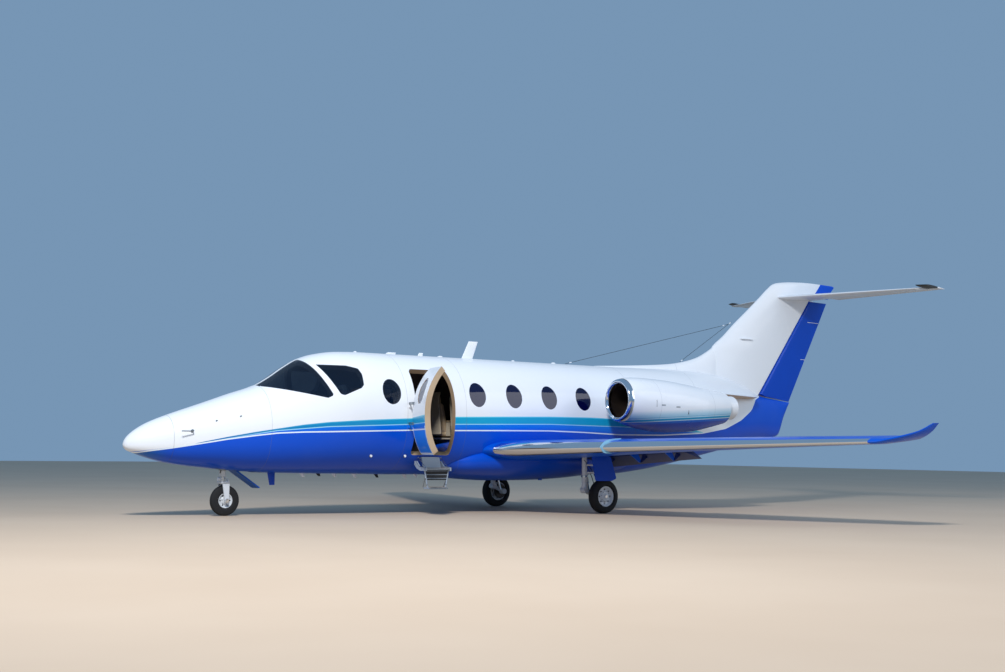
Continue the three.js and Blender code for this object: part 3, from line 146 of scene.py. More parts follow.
def straight(rows: np.ndarray, column: int, x: np.ndarray | float) -> np.ndarray:
    """Read a column of a two-row table on the straight line through both rows, past them too."""
    return rows[0, column] + (rows[1, column] - rows[0, column]) * (np.asarray(x, float) - rows[0, 0]) / (
        rows[1, 0] - rows[0, 0]
    )


def place(station: np.ndarray, y: np.ndarray, z: np.ndarray) -> np.ndarray:
    """Points in the frame from stations, distances to port and heights of shapes that broadcast."""
    return np.stack(np.broadcast_arrays(NOSE_X - np.asarray(station, float), y, z), -1)


def spot(station: float, y: float, z: float) -> Vector:
    """One point in the frame from a station, a distance to port and a height."""
    return Vector((NOSE_X - station, y, z))


def power(value: np.ndarray, exponent: float) -> np.ndarray:
    """A power that keeps the sign of its base."""
    return np.sign(value) * np.abs(value) ** exponent


def half_thickness(f: np.ndarray, thickness: np.ndarray | float) -> np.ndarray:
    """Half the thickness of a four-digit aerofoil at a fraction of its chord, in chords."""
    f = np.asarray(f, float)
    return 5 * thickness * (.2969 * np.sqrt(f) - .126 * f - .3516 * f**2 + .2843 * f**3 - .1036 * f**4)


def outline_field(outline: Sequence[Sequence[float]], u: np.ndarray, v: np.ndarray) -> np.ndarray:
    """Signed distance from a closed outline, negative inside.

    It is the distance to the nearest edge, with its sign from whether a ray crosses the outline an
    odd number of times.
    """
    a = np.asarray(outline, float)
    b = np.roll(a, -1, 0)
    edge = b - a
    p = np.stack([u, v], -1)[..., None, :]
    t = np.clip(((p - a) * edge).sum(-1) / (edge**2).sum(-1), 0, 1)
    gap = np.sqrt(((p - a - edge * t[..., None]) ** 2).sum(-1)).min(-1)
    with np.errstate(divide="ignore", invalid="ignore"):
        ahead = p[..., 0] < edge[:, 0] * (p[..., 1] - a[:, 1]) / edge[:, 1] + a[:, 0]
    crossed = ((a[:, 1] > p[..., 1]) != (b[:, 1] > p[..., 1])) & ahead
    return np.where(crossed.sum(-1) % 2 == 1, -gap, gap)


def ellipse_field(
    centre: tuple[float, float], half: tuple[float, float], u: np.ndarray, v: np.ndarray
) -> np.ndarray:
    """About the signed distance from an ellipse: its radius in half axes less 1, times the smaller one."""
    radius = np.hypot((u - centre[0]) / half[0], (v - centre[1]) / half[1])
    return (radius - 1) * min(half)


def rounded_field(
    low: tuple[float, float], high: tuple[float, float], radius: float, u: np.ndarray, v: np.ndarray
) -> np.ndarray:
    """Signed distance from a rectangle with round corners, negative inside."""
    du = np.abs(u - (low[0] + high[0]) / 2) - (high[0] - low[0]) / 2 + radius
    dv = np.abs(v - (low[1] + high[1]) / 2) - (high[1] - low[1]) / 2 + radius
    return np.hypot(np.maximum(du, 0), np.maximum(dv, 0)) + np.minimum(np.maximum(du, dv), 0) - radius


# Meshes

Faces = Sequence[Sequence[int]]
Looks = dict[str, bpy.types.Material]


def grid_faces(rows: int, columns: int, round_rows: bool = False, round_columns: bool = False) -> np.ndarray:
    """Quads over a grid of points, joined round in either direction where it closes."""
    steps = rows if round_rows else rows - 1, columns if round_columns else columns - 1
    i, j = np.meshgrid(np.arange(steps[0]), np.arange(steps[1]), indexing="ij")
    k, l = (i + 1) % rows, (j + 1) % columns
    corners = [i * columns + j, k * columns + j, k * columns + l, i * columns + l]
    return np.stack(corners, -1).reshape(-1, 4)


class Piece:
    """One piece of the aircraft while it is built: points, faces and a finish for each face."""

    def __init__(self, name: str) -> None:
        """Start an empty piece of that name."""
        self.name = name
        self.points: list[np.ndarray] = []
        self.faces: list[list[int]] = []
        self.finishes: list[int] = []
        self.count = 0

    def add(self, points: np.ndarray, faces: Faces, finish: int = 0) -> "Piece":
        """Add points and their faces. A quad whose last two corners are one point is a triangle."""
        points = np.asarray(points, float).reshape(-1, 3)
        for face in (faces.tolist() if isinstance(faces, np.ndarray) else faces):
            if len(face) == 4 and face[2] == face[3]:
                face = face[:3]
            self.faces.append([corner + self.count for corner in face])
            self.finishes.append(finish)
        self.points.append(points)
        self.count += len(points)
        return self

    def loft(
        self, rings: np.ndarray, finish: int = 0, caps: bool = True, round_rows: bool = False
    ) -> "Piece":
        """Join closed rings of points one after another, with a flat face over each open end."""
        rings = np.asarray(rings, float)
        rows, columns = rings.shape[:2]
        faces: list[list[int]] = grid_faces(rows, columns, round_rows, True).tolist()
        if caps and not round_rows:
            faces += [list(range(columns - 1, -1, -1)), list(range((rows - 1) * columns, rows * columns))]
        return self.add(rings, faces, finish)

    def turned(
        self,
        profile: Sequence[tuple[float, float]],
        origin: Vector,
        axis: Vector,
        sides: int = 32,
        finish: int = 0,
        closed: bool = False,
    ) -> "Piece":
        """Turn a profile of radius and distance along the axis about a line.

        A point at radius r and distance d lies at origin + d axis + r (cos t across + sin t up).

        Args:
            profile: Radius and distance of each point of the profile.
            origin: Where the distance is 0.
            axis: The direction of the line.
            sides: Points round the line.
            finish: The finish of its faces.
            closed: Whether the profile is a ring, so that the turned surface has no ends.
        """
        axis = Vector(axis).normalized()
        across = axis.orthogonal().normalized()
        up = axis.cross(across)
        r, d = np.asarray(profile, float).T
        t = np.linspace(0, 2 * np.pi, sides, endpoint=False)
        ring = np.cos(t)[:, None] * np.array(across) + np.sin(t)[:, None] * np.array(up)
        rings = np.array(origin) + d[:, None, None] * np.array(axis) + r[:, None, None] * ring
        return self.loft(rings, finish, round_rows=closed)

    def rod(
        self, start: Vector, end: Vector, radius: float, sides: int = 16, finish: int = 0, bevel: float = .003
    ) -> "Piece":
        """A round bar between two points, with its edges eased."""
        start, end = Vector(start), Vector(end)
        length = (end - start).length
        ease = min(bevel, radius / 3, length / 3)
        profile = [(radius - ease, 0), (radius, ease), (radius, length - ease), (radius - ease, length)]
        return self.turned(profile, start, end - start, sides, finish)

    def pipe(self, path: np.ndarray, radius: float, sides: int = 10, finish: int = 0) -> "Piece":
        """A round tube of one radius along a path.

        Each ring stands square to the path's direction there, with its first point kept beside
        that of the ring before by taking away what runs along the path.
        """
        path = np.asarray(path, float)
        way = np.gradient(path, axis=0)
        way /= np.linalg.norm(way, axis=1)[:, None]
        side = np.array(Vector(way[0]).orthogonal().normalized())
        t = np.linspace(0, 2 * np.pi, sides, endpoint=False)
        rings = []
        for point, direction in zip(path, way):
            side = side - direction * (side @ direction)
            side /= np.linalg.norm(side)
            up = np.cross(direction, side)
            rings.append(point + radius * (np.cos(t)[:, None] * side + np.sin(t)[:, None] * up))
        return self.loft(np.array(rings), finish)

    def block(
        self, low: Sequence[float], high: Sequence[float], finish: int = 0, bevel: float = .004
    ) -> "Piece":
        """A box with eased edges: two rings at each end, drawn in by the bevel."""
        (x0, y0, z0), (x1, y1, z1) = low, high
        ease = min(bevel, *(abs(b - a) / 3 for a, b in zip(low, high)))

        def ring(x: float, draw: float) -> list[list[float]]:
            inner = draw + ease
            return [
                [x, y0 + draw, z0 + inner], [x, y0 + inner, z0 + draw], [x, y1 - inner, z0 + draw],
                [x, y1 - draw, z0 + inner], [x, y1 - draw, z1 - inner], [x, y1 - inner, z1 - draw],
                [x, y0 + inner, z1 - draw], [x, y0 + draw, z1 - inner],
            ]

        rings = [ring(x0, ease), ring(x0 + ease, 0), ring(x1 - ease, 0), ring(x1, ease)]
        return self.loft(np.array(rings), finish)

    def plate(self, outline: Sequence[Sequence[float]], depth: Vector, finish: int = 0) -> "Piece":
        """A flat outline of points in the frame, carried along a vector."""
        ring = np.array([list(point) for point in outline], float)
        return self.loft(np.array([ring, ring + np.array(depth)]), finish)

    def finish(
        self,
        body: str,
        slot: str,
        looks: Sequence[bpy.types.Material],
        replaces: Sequence[str] = (),
        sharp: float = 32,
    ) -> bpy.types.Object:
        """Make the object, close and orient its surfaces, and tell the frame where it belongs.

        Args:
            body: The body that it rides on.
            slot: A material slot of the record, by name; not used.
            looks: Its materials, in the order of the finish numbers.
            replaces: CAD nodes that it stands for.
            sharp: Edges that turn by more than this many degrees stay sharp.

        Returns:
            The new object.
        """
        mesh = bpy.data.meshes.new(self.name)
        mesh.from_pydata(np.concatenate(self.points).tolist(), [], self.faces)
        mesh.polygons.foreach_set("material_index", np.array(self.finishes, np.int32))
        work = bmesh.new()
        work.from_mesh(mesh)
        bmesh.ops.remove_doubles(work, verts=work.verts, dist=2e-6)
        bmesh.ops.holes_fill(work, edges=[edge for edge in work.edges if edge.is_boundary], sides=0)
        bmesh.ops.recalc_face_normals(work, faces=work.faces)
        work.to_mesh(mesh)
        work.free()
        for look in looks:
            mesh.materials.append(look)
        mesh.shade_smooth()
        mesh.set_sharp_from_angle(angle=math.radians(sharp))
        thing = bpy.data.objects.new(self.name, mesh)
        bpy.context.scene.collection.objects.link(thing)
        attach(thing, body)
        if replaces:
            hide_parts(*replaces)
        LOG.info("%s: %d faces on %s", self.name, len(mesh.polygons), body)
        return thing


# Finishes


def pick(looks: Looks, *names: str) -> list[bpy.types.Material]:
    """The finishes with these names, in their order."""
    return [looks[name] for name in names]


def tone(code: str) -> tuple[float, float, float, float]:
    """A colour of the screen, such as 1b2c3f, as the linear colour that a shader takes."""
    parts = [int(code[i : i + 2], 16) / 255 for i in (0, 2, 4)]
    return tuple(p / 12.92 if p <= .04045 else ((p + .055) / 1.055) ** 2.4 for p in parts) + (1.0,)


class Value:
    """A number that varies over a surface, with the usual operators adding Math nodes."""

    def __init__(self, recipe: "Recipe", socket: bpy.types.NodeSocket) -> None:
        """Wrap an output socket of a recipe's tree."""
        self.recipe, self.socket = recipe, socket

    def maths(self, operation: str, *others: "Value | float", clamp: bool = False) -> "Value":
        """A Math node over this value and others."""
        return self.recipe.maths(operation, self, *others, clamp=clamp)

    def __add__(self, other: "Value | float") -> "Value":
        """The sum."""
        return self.maths("ADD", other)

    __radd__ = __add__

    def __sub__(self, other: "Value | float") -> "Value":
        """The difference."""
        return self.maths("SUBTRACT", other)

    def __rsub__(self, other: float) -> "Value":
        """The difference from a number."""
        return self.recipe.maths("SUBTRACT", other, self)

    def __mul__(self, other: "Value | float") -> "Value":
        """The product."""
        return self.maths("MULTIPLY", other)

    __rmul__ = __mul__

    def __abs__(self) -> "Value":
        """The same without its sign."""
        return self.maths("ABSOLUTE")

    def most(self, other: "Value | float") -> "Value":
        """The larger of two."""
        return self.maths("MAXIMUM", other)

    def above(self, edge: "Value | float", soft: float = .002) -> "Value":
        """1 where this is over an edge and 0 where it is under, with a short ramp between."""
        return self.recipe.maths("ADD", (self - edge) * (1 / soft), .5, clamp=True)

    def below(self, edge: "Value | float", soft: float = .002) -> "Value":
        """1 where this is under an edge and 0 where it is over."""
        return 1 - self.above(edge, soft)

    def near(self, middle: "Value | float", half: float, soft: float = .002) -> "Value":
        """1 within half a width of a middle."""
        return abs(self - middle).below(half, soft)


class Recipe:
    """A material while it is mixed: a node tree with one Principled shader."""

    def __init__(self, name: str, **constants: object) -> None:
        """Start a material.

        Args:
            name: Its name.
            constants: Values for the shader's own sockets, with _ for a space.
        """
        self.material = bpy.data.materials.new(name)
        self.material.use_nodes = True
        self.tree = self.material.node_tree
        self.shader = self.tree.nodes["Principled BSDF"]
        for key, value in constants.items():
            self.shader.inputs[key.replace("_", " ")].default_value = value
        self._axes: tuple[Value, Value, Value] | None = None

    def node(self, kind: str, settings: dict[str, object] | None = None, **inputs: object) -> bpy.types.Node:
        """Add any node but a Math node.

        Args:
            kind: Its type, without the ShaderNode in front.
            settings: Its own settings; stops gives a ramp's places and colours.
            inputs: Values or links for its sockets, by name or as i and a number, with _ for a space.
        """
        made = self.tree.nodes.new("ShaderNode" + kind)
        for key, value in (settings or {}).items():
            if key == "stops":
                ramp = made.color_ramp
                while len(ramp.elements) < len(value):
                    ramp.elements.new(0)
                for element, (at, colour) in zip(ramp.elements, value):
                    element.position, element.color = at, colour
            elif key == "interpolation":
                made.color_ramp.interpolation = value
            else:
                setattr(made, key, value)
        for key, value in inputs.items():
            numbered = key[0] == "i" and key[1:].isdigit()
            socket = made.inputs[int(key[1:]) if numbered else key.replace("_", " ")]
            self.join(value, socket)
        return made

    def join(self, value: object, socket: bpy.types.NodeSocket) -> None:
        """Link a value or socket to a socket, or set a plain number or colour on it."""
        if isinstance(value, Value):
            value = value.socket
        if isinstance(value, bpy.types.NodeSocket):
            self.tree.links.new(value, socket)
        else:
            socket.default_value = value

    def maths(self, operation: str, *values: "Value | float", clamp: bool = False) -> Value:
        """A Math node over values and numbers."""
        made = self.tree.nodes.new("ShaderNodeMath")
        made.operation, made.use_clamp = operation, clamp
        for socket, value in zip(made.inputs, values):
            self.join(value, socket)
        return Value(self, made.outputs[0])

    def axes(self) -> tuple[Value, Value, Value]:
        """Object coordinates as a station, a distance to port and a height."""
        if self._axes is None:
            split = self.node("SeparateXYZ", Vector=self.node("TexCoord").outputs["Object"])
            x, y, z = (Value(self, output) for output in split.outputs)
            self._axes = (NOSE_X - x, y, z)
        return self._axes

    def point(self, scale: tuple[float, float, float] = (1, 1, 1)) -> bpy.types.NodeSocket:
        """Object coordinates, stretched by a scale on each axis."""
        mapping = self.node("Mapping", Vector=self.node("TexCoord").outputs["Object"], Scale=scale)
        return mapping.outputs[0]

    def noise(
        self, scale: float, detail: float = 3, stretch: tuple[float, float, float] = (1, 1, 1)
    ) -> Value:
        """Soft noise from 0 to 1 in Object coordinates."""
        made = self.node("TexNoise", Vector=self.point(stretch), Scale=scale, Detail=detail)
        return Value(self, made.outputs["Fac"])

    def curve(
        self, at: Value, span: tuple[float, float], rows: Sequence[tuple[float, float]], tall: float = 5
    ) -> Value:
        """A curve of up to 32 points, straight between them, as a ramp over a span."""
        low, high = span
        stops = [((x - low) / (high - low), (y / tall,) * 3 + (1,)) for x, y in rows]
        share = (at - low) * (1 / (high - low))
        ramp = self.node("ValToRGB", {"stops": stops, "interpolation": "LINEAR"}, i0=share)
        return Value(self, ramp.outputs[0]) * tall

    def mix(self, share: "Value | float", first: object, second: object) -> bpy.types.NodeSocket:
        """A colour between two colours."""
        made = self.tree.nodes.new("ShaderNodeMix")
        made.data_type = "RGBA"
        for socket, value in zip((made.inputs[0], made.inputs[6], made.inputs[7]), (share, first, second)):
            self.join(value, socket)
        return made.outputs[2]

    def feed(self, **sockets: object) -> "Recipe":
        """Feed what varies over the surface to sockets of the shader, with _ for a space."""
        for key, value in sockets.items():
            self.join(value, self.shader.inputs[key.replace("_", " ")])
        return self

    def bump(self, height: Value, strength: float, depth: float) -> "Recipe":
        """Raise the surface by a height from 0 to 1 times a depth in metres."""
        made = self.node("Bump", Strength=strength, Distance=depth, Height=height)
        self.join(made.outputs[0], self.shader.inputs["Normal"])
        return self


WHITE = tone("e9edf3")
LIVERY_FOOT = [
    (.0, .880), (.141, .881), (.304, .912), (.603, .957), (.944, 1.016), (1.32, 1.083), (1.706, 1.138),
    (2.045, 1.180), (2.414, 1.200), (2.796, 1.211), (3.431, 1.232), (4.126, 1.256), (4.959, 1.265),
    (5.774, 1.279), (6.768, 1.292), (7.499, 1.279), (8.26, 1.254), (9.2, 1.262), (10.30, 1.313),
    (11.02, 1.413), (11.52, 1.575), (11.90, 1.767), (12.12, 1.976), (12.45, 2.060), (12.53, 2.069),
    (13.879, 3.946), (14.76, 4.998),
]
LIVERY_MIDDLE = [
    (0, .880), (.944, 1.016), (1.32, 1.094), (1.706, 1.160), (2.043, 1.215), (2.791, 1.284),
    (4.119, 1.343), (4.952, 1.360), (6.762, 1.397), (8.3, 1.385), (9.2, 1.360), (10.3, 1.318),
    (10.6, 1.0), (14.76, .9),
]
LIVERY_HEAD = [
    (0, .880), (.80, .990), (.935, 1.032), (1.319, 1.115), (1.705, 1.188), (2.042, 1.244),
    (2.41, 1.305), (2.788, 1.350), (3.42, 1.397), (4.114, 1.433), (4.948, 1.474), (5.764, 1.496),
    (6.76, 1.519), (7.6, 1.525), (8.4, 1.508), (9.2, 1.462), (9.8, 1.405), (10.35, 1.325), (10.6, 1.0),
    (14.76, .9),
]
SPAN = (0.0, 14.76)
FRAME_SEAMS = (.600, 1.950, 4.060, 5.130, 8.600, 10.250)


@dataclass(frozen=True)
class Gloss:
    """How a painted surface shines: roughness under the clear coat, and the coat."""

    roughness: float = .32
    specular: float = .18
    coat: float = .2
    coat_roughness: float = .05

    def coating(self) -> dict[str, float]:
        """Constants for a shader: how the paint and its clear coat reflect."""
        return {
            "Specular_IOR_Level": self.specular,
            "Coat_Weight": self.coat,
            "Coat_Roughness": self.coat_roughness,
        }


def livery(recipe: Recipe, station: Value, z: Value) -> bpy.types.NodeSocket:
    """The colour of the striped paint at a station and height.

    White lies over the top curve, teal between it and the middle curve, azure between that and the
    lower curve, and royal blue below; pale lines run along the middle and lower curves.
    """
    foot = recipe.curve(station, SPAN, LIVERY_FOOT)
    middle = recipe.curve(station, SPAN, LIVERY_MIDDLE)
    head = recipe.curve(station, SPAN, LIVERY_HEAD)
    reach = recipe.maths("MULTIPLY", station - 1.2, 1 / 4.0, clamp=True)
    teal = recipe.mix(reach, tone("0a6fb4"), tone("14a0cc"))
    crest = recipe.mix(z.near(head, .014, .012) * reach, teal, tone("5fd1e7"))
    climb = recipe.maths("MULTIPLY", z - foot, 1 / .12, clamp=True)
    azure = recipe.mix(climb, tone("005fe0"), tone("0085ea"))
    # Painted shade: the royal blue darkens from 1 m down to 0.6 m, towards the keel.
    keel = recipe.maths("MULTIPLY", 1.0 - z, 1 / .4, clamp=True)
    royal = recipe.mix(keel, tone("004fd0"), tone("0042b4"))
    tip = recipe.maths("MULTIPLY", .55 - station, 1 / .45, clamp=True)
    royal = recipe.mix(tip, royal, tone("0a66a6"))
    colour = recipe.mix(z.above(head), crest, WHITE)
    colour = recipe.mix(z.below(middle), colour, azure)
    forward = station.below(10.45, .3)
    colour = recipe.mix(z.near(middle, .006) * station.above(1.5, .8) * forward, colour, tone("9fd8ef"))
    colour = recipe.mix(z.below(foot), colour, royal)
    return recipe.mix(z.near(foot, .009) * station.below(12.35), colour, tone("e8f3fa"))


def seams(at: Value, places: Sequence[float], half: float = .0022) -> Value:
    """1 along each of a few lines across an axis, such as the joints between skin panels."""
    lines = [at.near(place, half, .002) for place in places]
    total = lines[0]
    for line in lines[1:]:
        total = total.most(line)
    return total


def skin_paint(name: str, gloss: Gloss = Gloss(), turned: bool = False) -> bpy.types.Material:
    """The fuselage's glossy striped paint, with its panel joints and a slight unevenness.

    Args:
        name: The material's name.
        gloss: How it shines.
        turned: Whether the piece is the open door, whose pattern is read where it closes.
    """
    recipe = Recipe(name, Roughness=gloss.roughness, **gloss.coating())
    station, y, z = recipe.axes()
    if turned:
        angle = math.radians(DOOR.open_degrees)
        ahead, out = DOOR.hinge_station - station, y - DOOR.hinge_y
        station = DOOR.hinge_station - (ahead * math.cos(angle) - out * math.sin(angle))
    joints = seams(station, FRAME_SEAMS)
    dirt = recipe.noise(1.6, 4)
    colour = livery(recipe, station, z)
    if turned:
        # Painted light: below the foot line the door takes a brighter azure than the belly's royal blue,
        # standing in for light falling on it.
        foot = recipe.curve(station, SPAN, LIVERY_FOOT)
        colour = recipe.mix(z.below(foot - .012), colour, tone("2b8cff"))
        edge = station.near(DOOR.front + .018, .014).most(station.near(DOOR.rear - .030, .016))
        edge = edge.most(z.near(DOOR.sill + .026, .014))
        colour = recipe.mix(edge * z.below(foot + .05), colour, tone("e8f3fa"))
    colour = recipe.mix(joints * .55, colour, tone("5c6470"))
    colour = recipe.mix(recipe.maths("MULTIPLY", dirt - .5, .05, clamp=True), colour, tone("b9bfc8"))
    recipe.feed(Base_Color=colour, Roughness=gloss.roughness + (dirt - .5) * .12)
    recipe.bump(recipe.noise(.9, 1) * .5 + (1 - joints) * .5, .25, .0025)
    return recipe.material


def plain_paint(
    name: str, colour: str, shade: str, gloss: Gloss = Gloss(), grain: float = 2.0
) -> bpy.types.Material:
    """A glossy paint of one colour that drifts a little towards a shade."""
    recipe = Recipe(name, **gloss.coating())
    drift = recipe.noise(grain, 4)
    recipe.feed(
        Base_Color=recipe.mix(drift, tone(colour), tone(shade)), Roughness=gloss.roughness + (drift - .5) * .1
    )
    return recipe.bump(drift, .15, .002).material


def metal(
    name: str,
    colour: str,
    shade: str,
    roughness: float,
    grain: tuple[float, float, float] = (1, 1, 1),
    coarse: float = 30,
) -> bpy.types.Material:
    """A bare metal with fine marks, stretched along the way that it was polished."""
    recipe = Recipe(name, Metallic=1.0)
    marks = recipe.noise(coarse, 5, grain)
    recipe.feed(
        Base_Color=recipe.mix(marks, tone(colour), tone(shade)), Roughness=roughness * (.8 + marks * .4)
    )
    return recipe.bump(marks, .12, .0006).material


def soft_finish(
    name: str, colour: str, shade: str, roughness: float, coarse: float, depth: float
) -> bpy.types.Material:
    """A dull finish such as rubber, leather, carpet or moulded plastic, with a fine grain."""
    recipe = Recipe(name)
    cells = Value(recipe, recipe.node("TexVoronoi", Vector=recipe.point(), Scale=coarse).outputs["Distance"])
    wear = recipe.noise(4, 3)
    recipe.feed(
        Base_Color=recipe.mix(wear * .7 + cells * .3, tone(colour), tone(shade)),
        Roughness=roughness + (wear - .5) * .15,
    )
    return recipe.bump(cells, .5, depth).material


# Fuselage


@dataclass(frozen=True)
class DoorSizes:
    """The doorway and its door, in stations and heights, and where the door's hinge stands."""

    front: float = 4.200
    rear: float = 4.920
    sill: float = .887
    head: float = 2.180
    corner: float = .060
    gap: float = .006
    hinge_station: float = 4.085
    hinge_y: float = .850
    open_degrees: float = 109
    opening_radius: float = .835
    door_radius: float = .828


DOOR = DoorSizes()
WINDOW_HALF = (.155, .188)
WINDOW_HEIGHT = 1.820
DOOR_WINDOW = 4.560
FRONT_WINDOW = 3.806
PORT_WINDOWS = (5.364, 6.072, 6.780, 7.488)
STARBOARD_WINDOWS = (4.656, 5.364, 6.072, 6.780, 7.488)
WINDSHIELD = ((1.890, 1.862), (2.470, 2.240), (2.600, 2.290), (2.872, 1.738), (2.782, 1.696))
SIDE_WINDOW = (
    (2.735, 2.190), (3.170, 2.188), (3.340, 2.150), (3.372, 2.070), (3.360, 1.905), (3.315, 1.858),
    (3.035, 1.742), (2.975, 1.760),
)
CENTRE_POST = .032
WALL = .085
Field = Callable[[np.ndarray, np.ndarray, np.ndarray], np.ndarray]


def oval_window(station: float, side: int) -> Field:
    """The opening of an oval cabin window on one side."""
    centre = (station, WINDOW_HEIGHT)
    return lambda s, y, z: np.maximum(ellipse_field(centre, WINDOW_HALF, s, z), .3 - y * side)


def cockpit_pane(outline: Sequence[Sequence[float]], side: int) -> Field:
    """The opening of a cockpit pane on one side of the centre post."""
    return lambda s, y, z: np.maximum(outline_field(outline, s, z), CENTRE_POST - y * side)


def doorway(grow: float, radius: float) -> Field:
    """The doorway: a round-cornered rectangle seen from the side, within reach of the door's hinge."""
    low, high = (DOOR.front + grow, DOOR.sill + grow), (DOOR.rear, DOOR.head - grow)

    def opening(s: np.ndarray, y: np.ndarray, z: np.ndarray) -> np.ndarray:
        swing = np.hypot(s - DOOR.hinge_station, y - DOOR.hinge_y) - radius
        return np.maximum(np.maximum(rounded_field(low, high, DOOR.corner - grow, s, z), swing), .2 - y)

    return opening


def gear_bay(s: np.ndarray, y: np.ndarray, z: np.ndarray) -> np.ndarray:
    """The nose gear's bay, open below."""
    return np.maximum(np.maximum(np.abs(y) - .125, np.maximum(1.340 - s, s - 2.060)), z - 1.0)


@dataclass(frozen=True)
class Hull:
    """A tube of smoothly changing section, from a table of stations."""

    rows: np.ndarray
    upper: float = 2.05
    lower: float = 2.4

    def at(self, station: np.ndarray, angle: np.ndarray, inset: float = 0) -> np.ndarray:
        """Points of the surface at stations and angles.

        The section is a superellipse: y is the half width times cos to the power 2/p, and the rise
        from the widest line is the height above or below it times sin to the power 2/p, where p
        differs above and below, and the angle runs from port over the top.
        """
        half, top, low, wide = (along(self.rows, column, station, root=True) for column in (1, 2, 3, 4))
        up = np.sin(angle) > 0
        share = 2 / np.where(up, self.upper, self.lower)
        rise = np.maximum(np.where(up, top - wide, wide - low) - inset, .002)
        y = power(np.cos(angle), share) * np.maximum(half - inset, .002)
        return place(station, y, wide + power(np.sin(angle), share) * rise)

    def side_y(self, station: float, z: float) -> float:
        """How far out the surface lies at a station and height."""
        half, top, low, wide = (
            float(along(self.rows, column, station, root=True)) for column in (1, 2, 3, 4)
        )
        reach, p = (top - wide, self.upper) if z > wide else (wide - low, self.lower)
        return half * max(1 - (abs(z - wide) / reach) ** p, 0) ** (1 / p)

    def top(self, station: float) -> float:
        """The height of the top line at a station."""
        return float(along(self.rows, 2, station, root=True))

    def keel(self, station: float) -> float:
        """The height of the bottom line at a station."""
        return float(along(self.rows, 3, station, root=True))


FUSELAGE = Hull(FUSELAGE_ROWS)
BELLY = Hull(BELLY_ROWS)


